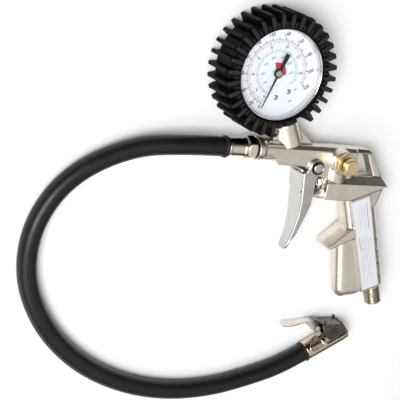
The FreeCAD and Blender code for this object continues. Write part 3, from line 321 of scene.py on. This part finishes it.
def black_rubber(name, base, r0, r1, grain, bump, lit_face_colour=None):
    x = Mat(name, spec=0.08 if lit_face_colour else 0.3)
    fine = x.noise(grain, 6.0, 0.65)
    slow = x.noise(60.0, 3.0)
    dust_and_painted_light = x.noise(320.0, 5.0, 0.7)
    dark = x.ramp(slow, [(0.35, tuple(v * 0.8 for v in base)), (0.7, tuple(v * 1.25 for v in base))])
    rubber_colour = x.mix(dark, tuple(v * 2.6 for v in base), x.span(dust_and_painted_light, 0.0, 0.45, 0.55, 0.8))
    if lit_face_colour:
        # painted light: the raised faces turned to the front, up to the lamps, are painted paler than the rest of the
        # rubber
        geo = x.nt.nodes.new("ShaderNodeNewGeometry")
        up = x.nt.nodes.new("ShaderNodeSeparateXYZ")
        x.nt.links.new(geo.outputs["Normal"], up.inputs["Vector"])
        at = x.nt.nodes.new("ShaderNodeVectorMath")
        at.operation = "SUBTRACT"
        at.inputs[1].default_value = tuple(W(GC[0], GC[1], 0.0))
        x.nt.links.new(x.tc.outputs["Object"], at.inputs[0])
        part = x.nt.nodes.new("ShaderNodeSeparateXYZ")
        x.nt.links.new(at.outputs["Vector"], part.inputs["Vector"])
        flat = x.nt.nodes.new("ShaderNodeCombineXYZ")
        x.nt.links.new(part.outputs["X"], flat.inputs["X"])
        x.nt.links.new(part.outputs["Y"], flat.inputs["Y"])
        far = x.nt.nodes.new("ShaderNodeVectorMath")
        far.operation = "LENGTH"
        x.nt.links.new(flat.outputs["Vector"], far.inputs[0])
        high = x.nt.nodes.new("ShaderNodeMath")
        high.operation = "MAXIMUM"
        x.nt.links.new(x.span(part.outputs["Z"], 0.0, 1.0, 0.0137, 0.0150), high.inputs[0])
        x.nt.links.new(x.span(far.outputs["Value"], 0.0, 1.0, 0.0362, 0.0370), high.inputs[1])
        painted_lit_faces = x.nt.nodes.new("ShaderNodeMath")
        painted_lit_faces.operation = "MULTIPLY"
        x.nt.links.new(x.span(up.outputs["Z"], 0.0, 1.0, 0.55, 0.95), painted_lit_faces.inputs[0])
        x.nt.links.new(high.outputs["Value"], painted_lit_faces.inputs[1])
        rubber_colour = x.mix(rubber_colour, x.ramp(dust_and_painted_light, [(0.3, lit_face_colour), (0.75, tuple(v * 1.7 for v in lit_face_colour))]), painted_lit_faces.outputs["Value"])
    x.color(rubber_colour)
    x.rough(x.span(x.noise(240.0, 4.0), r0, r1))
    x.bump(fine, bump, 0.00006)
    return x.m


boot_mat = black_rubber("moulded_rubber", (0.0016, 0.0017, 0.0021), 0.42, 0.60, 1200.0, 0.4, lit_face_colour=(0.020, 0.020, 0.020))
hose_mat = black_rubber("hose_rubber", (0.008, 0.0085, 0.010), 0.30, 0.42, 1100.0, 0.14)
seal_mat = black_rubber("seal_rubber", (0.014, 0.014, 0.014), 0.35, 0.5, 1500.0, 0.2)

x = Mat("case_enamel", coat=0.3)
x.color(x.ramp(x.noise(120.0), [(0.3, (0.02, 0.02, 0.022)), (0.7, (0.035, 0.035, 0.037))]))
x.rough(x.span(x.noise(300.0), 0.28, 0.42)).bump(x.noise(700.0, 4.0), 0.2, 0.00005)
enamel = x.m

x = Mat("dial_white")
x.color(x.mix(x.ramp(x.noise(30.0, 2.0), [(0.3, (0.93, 0.94, 0.955)), (0.7, (0.96, 0.965, 0.975))]), (0.90, 0.91, 0.93),
              x.span(x.noise(1800.0, 4.0), 0.0, 0.4)))
x.rough(x.span(x.noise(900.0), 0.42, 0.58)).bump(x.noise(1600.0), 0.1, 0.00002)
dial_mat = x.m


def ink(name, c, r=0.45):
    x = Mat(name)
    x.color(x.ramp(x.noise(1500.0, 3.0), [(0.3, tuple(v * 0.85 for v in c)), (0.75, tuple(min(1.0, v * 1.2 + 0.01) for v in c))]))
    x.rough(x.span(x.noise(800.0), r - 0.06, r + 0.08)).bump(x.noise(1800.0), 0.1, 0.00001)
    return x.m


ink_black = ink("print_black", (0.025, 0.027, 0.032))
ink_red = ink("print_red", (0.74, 0.018, 0.03))
ink_pink = ink("print_pink", (0.70, 0.16, 0.19))
ink_teal = ink("print_teal", (0.13, 0.43, 0.40))
ink_grey = ink("print_grey", (0.20, 0.21, 0.22))
pointer_mat = ink("pointer_black", (0.004, 0.0045, 0.006), 0.5)
pointer_mat.node_tree.nodes["Principled BSDF"].inputs["Specular IOR Level"].default_value = 0.1
rim_white = metal("rim_bright", (0.86, 0.88, 0.92), (0.78, 0.81, 0.86), 0.18, 0.30, grain=900.0, bump=0.1)

x = Mat("label_film", coat=0.35)
x.color(x.mix(x.ramp(x.noise(40.0, 2.0), [(0.3, (0.70, 0.72, 0.745)), (0.7, (0.76, 0.775, 0.79))]), (0.64, 0.655, 0.67),
              x.span(x.noise(1200.0, 4.0), 0.0, 0.35)))
x.rough(x.span(x.noise(500.0), 0.24, 0.36)).bump(x.noise(260.0, 3.0), 0.15, 0.00005)
label_mat = x.m

# lens: what is behind it, with a reflection that grows towards the edge-on view
lens_mat = bpy.data.materials.new("clear_lens")
lens_mat.use_nodes = True
nt = lens_mat.node_tree
nt.nodes.remove(nt.nodes["Principled BSDF"])
tcn = nt.nodes.new("ShaderNodeTexCoord")
nz = nt.nodes.new("ShaderNodeTexNoise")
nz.inputs["Scale"].default_value = 180.0
nt.links.new(tcn.outputs["Object"], nz.inputs["Vector"])
mr = nt.nodes.new("ShaderNodeMapRange")
mr.inputs["To Min"].default_value, mr.inputs["To Max"].default_value = 0.015, 0.06
nt.links.new(nz.outputs["Fac"], mr.inputs["Value"])
gl = nt.nodes.new("ShaderNodeBsdfGlossy")
nt.links.new(mr.outputs["Result"], gl.inputs["Roughness"])
tr = nt.nodes.new("ShaderNodeBsdfTransparent")
tr.inputs["Color"].default_value = (0.965, 0.975, 0.985, 1)
lw = nt.nodes.new("ShaderNodeLayerWeight")
lw.inputs["Blend"].default_value = 0.5
pw = nt.nodes.new("ShaderNodeMath")
pw.operation = "POWER"
pw.inputs[1].default_value = 5.0
nt.links.new(lw.outputs["Facing"], pw.inputs[0])
fr = nt.nodes.new("ShaderNodeMath")
fr.operation = "MULTIPLY_ADD"
fr.inputs[1].default_value, fr.inputs[2].default_value = 0.6, 0.03
nt.links.new(pw.outputs["Value"], fr.inputs[0])
bp = nt.nodes.new("ShaderNodeBump")
bp.inputs["Strength"].default_value, bp.inputs["Distance"].default_value = 0.05, 0.0001
nt.links.new(nz.outputs["Fac"], bp.inputs["Height"])
nt.links.new(bp.outputs["Normal"], gl.inputs["Normal"])
mx = nt.nodes.new("ShaderNodeMixShader")
nt.links.new(fr.outputs["Value"], mx.inputs["Fac"])
nt.links.new(tr.outputs["BSDF"], mx.inputs[1])
nt.links.new(gl.outputs["BSDF"], mx.inputs[2])
nt.links.new(mx.outputs["Shader"], nt.nodes["Material Output"].inputs["Surface"])

# ------------------------------------------------ finish of the CAD's nodes
FINISH = {
    "cast": cast, "trigger": polished, "chrome": chrome, "dark_chrome": dark_chrome, "steel": steel, "brass": brass,
    "rubber": seal_mat, "hose_rubber": hose_mat, "case": enamel, "dial": dial_mat, "lens": lens_mat,
    "black": pointer_mat, "label": label_mat,
}
SLOT = {
    "gun_body": "cast", "label_plate": "label", "inlet_nipple": "steel", "inlet_filter": "brass",
    "trigger": "trigger", "trigger_pin": "steel", "pin_clip": "steel",
    "valve_gland": "steel", "valve_stem": "steel", "valve_seat": "brass", "valve_seal": "rubber", "valve_spring": "steel",
    "deflate_nut": "brass", "deflate_button": "brass", "deflate_spring": "steel", "deflate_seal": "rubber",
    "gauge_case": "case", "relief_plug": "rubber", "bezel_ring": "chrome", "lens_gasket": "rubber", "gauge_lens": "lens",
    "dial_plate": "dial", "dial_screws": "steel", "pointer": "black", "pointer_arbor": "brass", "sector_gear": "brass",
    "movement_frame": "brass", "gauge_socket": "brass", "stem_seal": "rubber", "bourdon_tube": "brass",
    "rubber_boot": "rubber", "hose_nut": "chrome", "muzzle_o_ring": "rubber", "hose_ferrule": "chrome",
    "hose_tail": "brass", "hose_collar": "rubber", "hose": "hose_rubber",
    "chuck_collar": "rubber", "chuck_tail": "brass", "chuck_body": "cast", "chuck_seal": "rubber",
    "chuck_depressor": "brass", "chuck_clip": "dark_chrome", "chuck_pin": "steel", "chuck_spring": "steel",
}


def paint(ob, mat):
    ob.data.materials.clear()
    ob.data.materials.append(mat)
    if ob.type == "MESH":
        for p in ob.data.polygons:
            p.material_index = 0


for name, ob in N.items():
    paint(ob, FINISH[SLOT[name]])
paint(N["lens_gasket"], rim_white)


# ---------------------------------------------------------------- geometry
def settle(ob, body, nodes=()):
    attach(ob, body)
    if nodes:
        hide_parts(*nodes)
    return ob


def soften(node, name, mat, voxel, smooth=5, factor=0.5, ratio=None, body=None, bend=None):
    """A copy of a CAD node with its edges rounded as the real piece's are."""
    src = N[node]
    me = src.data.copy()
    bm = bmesh.new()
    bm.from_mesh(me)
    bmesh.ops.remove_doubles(bm, verts=bm.verts, dist=2e-6)
    bmesh.ops.recalc_face_normals(bm, faces=bm.faces)
    bm.to_mesh(me)
    bm.free()
    ob = link(bpy.data.objects.new(name, me))
    r = ob.modifiers.new("remesh", "REMESH")
    r.mode = "VOXEL"
    r.voxel_size = voxel / 1000
    r.use_smooth_shade = True
    s = ob.modifiers.new("smooth", "SMOOTH")
    s.factor = factor
    s.iterations = smooth
    if ratio:
        d = ob.modifiers.new("thin", "DECIMATE")
        d.ratio = ratio
    dg = bpy.context.evaluated_depsgraph_get()
    new = bpy.data.meshes.new_from_object(ob.evaluated_get(dg))
    ob.modifiers.clear()
    ob.data = new
    new.name = name
    for p in new.polygons:
        p.use_smooth = True
    paint(ob, mat)
    if bend:
        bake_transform(ob)
        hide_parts(node)
        return ob
    return settle(ob, body or src["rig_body"], (node,))


def mesh_piece(name, verts, faces, mat, smooth=True, sharp=None):
    me = bpy.data.meshes.new(name)
    me.from_pydata([tuple(v) for v in verts], [], faces)
    me.validate()
    bm = bmesh.new()
    bm.from_mesh(me)
    bmesh.ops.recalc_face_normals(bm, faces=bm.faces)
    bm.to_mesh(me)
    bm.free()
    ob = link(bpy.data.objects.new(name, me))
    me.materials.append(mat)
    for p in me.polygons:
        p.use_smooth = smooth
    if sharp:
        me.set_sharp_from_angle(angle=math.radians(sharp))
    return ob


def coil_piece(name, a, d, r_mid, wire, length, turns, mat, steps=40, sides=12, closed=0.75):
    """A coil spring with a round wire at an even pitch; only the wire's tilt flattens towards its ends."""
    zq = Vector((0, 0, 1)).rotation_difference(Vector(d))
    n = int(turns * steps)
    vs, fs = [], []
    for i in range(n + 1):
        t = 2 * math.pi * i / steps
        f = i / n
        g = f + (0.5 - f) * 0.0
        e = min(1.0, min(f, 1 - f) * turns / closed)
        zc = length * g
        slope = math.atan2(length / turns, 2 * math.pi * r_mid) * e
        rad = Vector((math.cos(t), math.sin(t), 0))
        tan = Vector((-math.sin(t) * math.cos(slope), math.cos(t) * math.cos(slope), math.sin(slope)))
        nor = tan.cross(rad)
        c = Vector((r_mid * math.cos(t), r_mid * math.sin(t), zc))
        for k in range(sides):
            w = 2 * math.pi * k / sides
            q = c + rad * (0.5 * wire * math.cos(w)) + nor * (0.5 * wire * math.sin(w))
            q = zq @ q
            vs.append(W(a[0] + q.x, a[1] + q.y, a[2] + q.z))
    for i in range(n):
        for k in range(sides):
            k2 = (k + 1) % sides
            fs.append((i * sides + k, i * sides + k2, (i + 1) * sides + k2, (i + 1) * sides + k))
    fs.append(tuple(range(sides))[::-1])
    fs.append(tuple(n * sides + k for k in range(sides)))
    return mesh_piece(name, vs, fs, mat, sharp=60)


def lathe_piece(name, a, d, prof, mat, seg=64, wob=None, sharp=32):
    """A turned piece: prof is (t, r) pairs along d from a. wob(angle, t, r) gives a new radius, as for a thread."""
    zq = Vector((0, 0, 1)).rotation_difference(Vector(d))
    vs, fs = [], []
    for t, r in prof:
        for k in range(seg):
            g = 2 * math.pi * k / seg
            rr = wob(g, t, r) if wob else r
            q = zq @ Vector((rr * math.cos(g), rr * math.sin(g), t))
            vs.append(W(a[0] + q.x, a[1] + q.y, a[2] + q.z))
    n = len(prof)
    for i in range(n):
        j = (i + 1) % n
        for k in range(seg):
            k2 = (k + 1) % seg
            fs.append((i * seg + k, i * seg + k2, j * seg + k2, j * seg + k))
    return mesh_piece(name, vs, fs, mat, sharp=sharp)


# castings and mouldings
soften("gun_body", "gun_casting", cast, 0.5, 6, 0.5, ratio=0.5)
soften("trigger", "trigger_lever", polished, 0.3, 9, 0.5, ratio=0.6)
soften("rubber_boot", "ribbed_boot", boot_mat, 0.32, 2, 0.5, ratio=0.4)
soften("chuck_body", "chuck_shell", nickel, 0.2, 3, 0.5, ratio=0.5)
soften("chuck_clip", "chuck_clamp", dark_chrome, 0.2, 3, 0.5, ratio=0.5)
soften("hose_nut", "muzzle_nut", chrome, 0.22, 4, 0.5)
soften("hose_ferrule", "crimped_ferrule", chrome, 0.22, 4, 0.5)
soften("deflate_nut", "button_nut", brass, 0.22, 4, 0.5)
soften("deflate_button", "bleed_button", brass, 0.2, 3, 0.5)
soften("trigger_pin", "trigger_pivot", steel, 0.2, 3, 0.5)
soften("muzzle_o_ring", "muzzle_ring", seal_mat, 0.22, 4, 0.5)
soften("hose_collar", "hose_end_collar", seal_mat, 0.22, 4, 0.5)
soften("chuck_collar", "chuck_end_collar", seal_mat, 0.22, 4, 0.5)
soften("pointer_arbor", "pointer_hub", nipple_metal, 0.16, 3, 0.5)
soften("bezel_ring", "gauge_bezel", chrome, 0.3, 3, 0.5)
soften("valve_gland", "gland_nut", steel, 0.22, 3, 0.5)
soften("chuck_pin", "clip_pin", steel, 0.2, 3, 0.5)

# springs, wound from round wire
STEM_X, VALVE_Y = -10.85, -21.5
vs_len = 2.2 - STEM_X - 4.1
sv = coil_piece("trigger_spring", (STEM_X + 3.55, VALVE_Y, 0), (1, 0, 0), 3.6, 1.0, vs_len, 4.5, steel)
settle(sv, "gun", ("valve_spring",))
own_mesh(sv)
sd = coil_piece("button_spring", (15.0, -1.5, 16.05), (0, 0, 1), 2.75, 0.8, 6.75, 3.5, steel)
settle(sd, "gun", ("deflate_spring",))
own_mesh(sd)

# the clip's torsion spring, fixed where it lies and put on no body, so neither leg moves with the clip
pv = (CK[0] + 13.2 * UX - 15.0 * UY, CK[1] + 13.2 * UY + 15.0 * UX)
ts = soften("chuck_spring", "clip_spring", steel, 0.14, 2, 0.5, bend=(
    "gun", "chuck_clip", tuple(W(pv[0], pv[1], CK[2])), tuple(W(pv[0] - 2.2 * UY, pv[1] + 2.2 * UX, CK[2]))))

# inlet nipple with its thread
n0 = H(106.0, 33.4)
PITCH, T0, T1, TR = 1.337, 15.0, 28.2, 6.56
prof = [(0, 3.0), (0, 5.2), (12.0, 5.2), (12.0, 6.3), (14.4, 6.3), (14.8, 5.7), (15.0, 5.7)]
steps_t = 110
for i in range(1, steps_t):
    prof.append((T0 + (T1 - T0) * i / steps_t, TR))
prof += [(T1, TR), (28.9, 5.6), (29.0, 3.4), (10.0, 3.4), (10.0, 3.0)]


def thread(g, t, r):
    if not (T0 <= t <= T1 and r > 6.4):
        return r
    ph = (t / PITCH - g / (2 * math.pi)) % 1.0
    tri = abs(2 * ph - 1)
    depth = 0.85 * max(0.0, min(1.0, (tri * 1.25 - 0.12)))
    run = min(1.0, max(0.0, (t - T0) / 1.2))
    return 5.75 + (r - 5.75 - depth) * run if run < 1 else r - depth


lp = lathe_piece("threaded_inlet", (n0[0], n0[1], 0), (RX, RY, 0), prof, nipple_metal, seg=72, wob=thread, sharp=40)
settle(lp, "gun", ("inlet_nipple",))

# ------------------------------------------------------------ dial's print
Z_INK = DIAL_Z + 0.01
INK_H = 0.045
DIAL_UP = math.radians(26.5)


class Print:
    """Collects thin printed marks of one colour into one mesh."""

    def __init__(self):
        self.v, self.f = [], []

    def slab(self, loop, z0=Z_INK, h=INK_H):
        """A closed thin slab over a loop of (x, y) in drawing mm."""
        b = len(self.v)
        n = len(loop)
        for x_, y_ in loop:
            self.v.append(W(x_, y_, z0))
        for x_, y_ in loop:
            self.v.append(W(x_, y_, z0 + h))
        self.f.append(tuple(b + i for i in range(n))[::-1])
        self.f.append(tuple(b + n + i for i in range(n)))
        for i in range(n):
            j = (i + 1) % n
            self.f.append((b + i, b + j, b + n + j, b + n + i))

    def tick(self, ang, r0, r1, w):
        c, s = math.cos(ang), math.sin(ang)
        self.slab([(GC[0] + r * c - o * s, GC[1] + r * s + o * c) for r, o in ((r0, -w / 2), (r1, -w / 2), (r1, w / 2), (r0, w / 2))])

    def arc(self, r0, r1, a0, a1, n=120):
        b = len(self.v)
        for i in range(n + 1):
            a = a0 + (a1 - a0) * i / n
            for r, z in ((r0, Z_INK), (r1, Z_INK), (r1, Z_INK + INK_H), (r0, Z_INK + INK_H)):
                self.v.append(W(GC[0] + r * math.cos(a), GC[1] + r * math.sin(a), z))
        for i in range(n):
            for k in range(4):
                k2 = (k + 1) % 4
                self.f.append((b + 4 * i + k, b + 4 * i + k2, b + 4 * i + 4 + k2, b + 4 * i + 4 + k))
        self.f.append((b, b + 1, b + 2, b + 3))
        e = b + 4 * n
        self.f.append((e + 3, e + 2, e + 1, e))

    def text(self, s, ang, r, size, turn=DIAL_UP, wide=1.0):
        fc = bpy.data.curves.new("t", "FONT")
        fc.body = s
        fc.size = size
        fc.align_x = "CENTER"
        fc.align_y = "CENTER"
        fc.resolution_u = 3
        fc.extrude = INK_H / 2
        fc.offset = size * 0.022
        o = bpy.data.objects.new("t", fc)
        link(o)
        dg = bpy.context.evaluated_depsgraph_get()
        me = bpy.data.meshes.new_from_object(o.evaluated_get(dg))
        b = len(self.v)
        cx, cy = GC[0] + r * math.cos(ang), GC[1] + r * math.sin(ang)
        ct, st = math.cos(turn), math.sin(turn)
        for v in me.vertices:
            x_, y_ = v.co.x * wide, v.co.y
            self.v.append(W(cx + x_ * ct - y_ * st, cy + x_ * st + y_ * ct, Z_INK + INK_H / 2 + v.co.z))
        for p in me.polygons:
            self.f.append(tuple(b + i for i in p.vertices))
        bpy.data.objects.remove(o)
        bpy.data.curves.remove(fc)
        bpy.data.meshes.remove(me)

    def make(self, name, mat, body="gun"):
        ob = mesh_piece(name, self.v, self.f, mat, smooth=False)
        return settle(ob, body)


MARKS = [(0, 250.5), (20, 235.5), (40, 211.0), (60, 185.6), (80, 160.5), (100, 135.6), (120, 110.2), (140, 84.8), (160, 58.8),
         (180, 32.6), (200, 6.8), (220, -18.0)]


def psi(v):
    for (v0, a0), (v1, a1) in zip(MARKS, MARKS[1:]):
        if v <= v1:
            return math.radians(a0 + (a1 - a0) * (v - v0) / (v1 - v0))
    return math.radians(MARKS[-1][1])


blk, red, teal, grey, pink = Print(), Print(), Print(), Print(), Print()
blk.arc(23.0, 23.16, psi(220), psi(0), 160)
for v in range(0, 221, 2):
    if v % 10 == 0:
        blk.tick(psi(v), 23.05, 24.8, 0.55 if v % 20 == 0 else 0.42)
    else:
        blk.tick(psi(v), 23.05, 23.8, 0.14)
for v, _a in MARKS:
    blk.text(str(v), psi(v), 27.1 if v else 26.4, 3.4)
for r in (20.9, 22.2):
    pink.arc(r, r + 0.17, psi(220), psi(0), 160)
for i in range(0, 76):
    v = i * 0.2
    a = psi(v * 14.5)
    if i % 5 == 0:
        red.tick(a, 20.1, 22.3, 0.32)
    else:
        pink.tick(a, 21.5, 22.3, 0.11)
for v in range(0, 16, 2):
    blk.text(str(v), psi(v * 14.5), 18.6, 2.8)
teal.arc(16.0, 16.16, psi(220), psi(0), 140)
teal.arc(14.5, 14.64, psi(220), psi(0), 120)
for i in range(0, 77):
    a = psi(i * 2.9)
    teal.tick(a, 14.5, 16.1 if i % 5 else 16.8, 0.12 if i % 5 else 0.26)
for i, v in enumerate(range(0, 16, 2)):
    teal.text(str(v * 100) if v else "0", psi(v * 14.5), 11.0, 2.1)
grey.text("psi", math.radians(-52.0), 24.0, 2.2)
red.text("bar", math.radians(-31.0), 20.2, 1.8)
teal.text("kPa", math.radians(-24.0), 14.6, 1.7)
# a plain red fan behind the hub
fan = [(GC[0], GC[1])]
for i in range(25):
    a = math.radians(-12.0 + 126.0 * i / 24)
    fan.append((GC[0] + 7.3 * math.cos(a), GC[1] + 7.3 * math.sin(a)))
red.slab(fan)
blk.make("dial_print_black", ink_black)
red.make("dial_print_red", ink_red)
pink.make("dial_print_pink", ink_pink)
teal.make("dial_print_teal", ink_teal)
grey.make("dial_print_grey", ink_grey)

# inside wall between the dial and the lens, with a step half way up
wall = lathe_piece("dial_surround", (GC[0], GC[1], 0), (0, 0, 1),
                   [(DIAL_Z + 0.02, 30.88), (DIAL_Z + 0.02, 30.45), (DIAL_Z + 0.15, 30.35), (7.2, 30.45), (7.35, 30.62), (7.5, 30.62),
                    (7.65, 30.45), (8.9, 30.55), (9.0, 30.75), (10.9, 31.35), (10.9, 31.5), (9.0, 30.9)], rim_white, seg=160, sharp=30)
settle(wall, "gun")

# label: a blank ruled form
LAB = [H(41.2, 18.0), H(41.2, 33.4), H(115.6, 33.4), H(115.6, 19.6)]
rules = Print()
Z_LAB = 10.2 - 0.08 + 0.005


def on_label(u, v):
    """u across the label and v down it, each 0 to 1."""
    ax, ay = LAB[0][0] + (LAB[1][0] - LAB[0][0]) * u, LAB[0][1] + (LAB[1][1] - LAB[0][1]) * u
    bx, by = LAB[3][0] + (LAB[2][0] - LAB[3][0]) * u, LAB[3][1] + (LAB[2][1] - LAB[3][1]) * u
    return (ax + (bx - ax) * v, ay + (by - ay) * v)


def rule(u0, v0, u1, v1, w_u, w_v):
    rules.slab([on_label(u0 - w_u, v0 - w_v), on_label(u1 + w_u, v0 - w_v), on_label(u1 + w_u, v1 + w_v),
                on_label(u0 - w_u, v1 + w_v)], Z_LAB, 0.04)


for u_, v0_, v1_, w_ in ((0.80, 0.05, 0.34, 0.014), (0.63, 0.08, 0.20, 0.005), (0.63, 0.24, 0.33, 0.005), (0.48, 0.10, 0.26, 0.005),
                         (0.34, 0.10, 0.30, 0.005), (0.80, 0.44, 0.58, 0.006), (0.66, 0.42, 0.62, 0.005), (0.66, 0.66, 0.90, 0.005),
                         (0.53, 0.42, 0.88, 0.005), (0.40, 0.42, 0.92, 0.005), (0.29, 0.42, 0.80, 0.005), (0.18, 0.40, 0.54, 0.012),
                         (0.18, 0.60, 0.92, 0.005)):
    rule(u_, v0_, u_, v1_, w_, 0.0)
lab = mesh_piece("label_rules", rules.v, rules.f, ink_grey, smooth=False)
settle(lab, "gun", ())

# ------------------------------------------------------------- hose: rubber finish, on the gun in place of the CAD hose
paint(hose, hose_mat)
settle(hose, "gun", ("hose",))

# ------------------------------------------------------------ floor, lights
fl = Mat("pale_floor")
fl.color(fl.mix(fl.ramp(fl.noise(3.0, 2.0), [(0.3, (0.94, 0.94, 0.94)), (0.7, (0.96, 0.96, 0.96))]), (0.92, 0.92, 0.92),
                fl.span(fl.noise(900.0), 0.0, 0.3)))
fl.rough(fl.span(fl.noise(60.0), 0.75, 0.9))
s_ = 4.0
floor = mesh_piece("floor", [(-s_, -s_, -0.0002), (s_, -s_, -0.0002), (s_, s_, -0.0002), (-s_, s_, -0.0002)], [(0, 1, 2, 3)],
                   fl.m, smooth=False)

world = bpy.data.worlds.new("studio")
bpy.context.scene.world = world
world.use_nodes = True
wt = world.node_tree
bg = wt.nodes["Background"]
tc = wt.nodes.new("ShaderNodeTexCoord")
sx = wt.nodes.new("ShaderNodeSeparateXYZ")
wr = wt.nodes.new("ShaderNodeValToRGB")
wt.links.new(tc.outputs["Generated"], sx.inputs["Vector"])
wt.links.new(sx.outputs["Z"], wr.inputs["Fac"])
el = wr.color_ramp.elements
el[0].position, el[0].color = 0.0, (0.035, 0.035, 0.037, 1)
el[1].position, el[1].color = 1.0, (1.0, 1.0, 1.0, 1)
for p_, c_ in ((0.26, 0.05), (0.40, 0.30), (0.60, 0.90)):
    e = el.new(p_)
    e.color = (c_, c_, c_ * 1.01, 1)
side = wt.nodes.new("ShaderNodeMapRange")
side.inputs["From Min"].default_value, side.inputs["From Max"].default_value = 0.12, 0.62
side.inputs["To Min"].default_value, side.inputs["To Max"].default_value = 1.0, 0.04
wt.links.new(sx.outputs["Y"], side.inputs["Value"])
dim = wt.nodes.new("ShaderNodeVectorMath")
dim.operation = "SCALE"
wt.links.new(wr.outputs["Color"], dim.inputs[0])
wt.links.new(side.outputs["Result"], dim.inputs["Scale"])
wt.links.new(dim.outputs["Vector"], bg.inputs["Color"])
bg.inputs["Strength"].default_value = 0.72


def area(name, at, aim, size, power, tint=(1, 1, 1), size_y=None):
    d = bpy.data.lights.new(name, "AREA")
    d.shape = "RECTANGLE"
    d.size, d.size_y = size, size_y or size
    d.energy = power
    d.color = tint
    o = link(bpy.data.objects.new(name, d))
    o.location = at
    o.rotation_euler = (Vector(aim) - Vector(at)).to_track_quat("-Z", "Y").to_euler()
    return o


mid = (-0.05, -0.03, 0.0)
area("key", (-0.95, 0.05, 1.25), mid, 0.7, 20.0)
area("fill", (-0.9, -0.7, 0.9), mid, 1.0, 5.0, (0.96, 0.98, 1.0))
bpy.context.scene.view_settings.view_transform = "Standard"
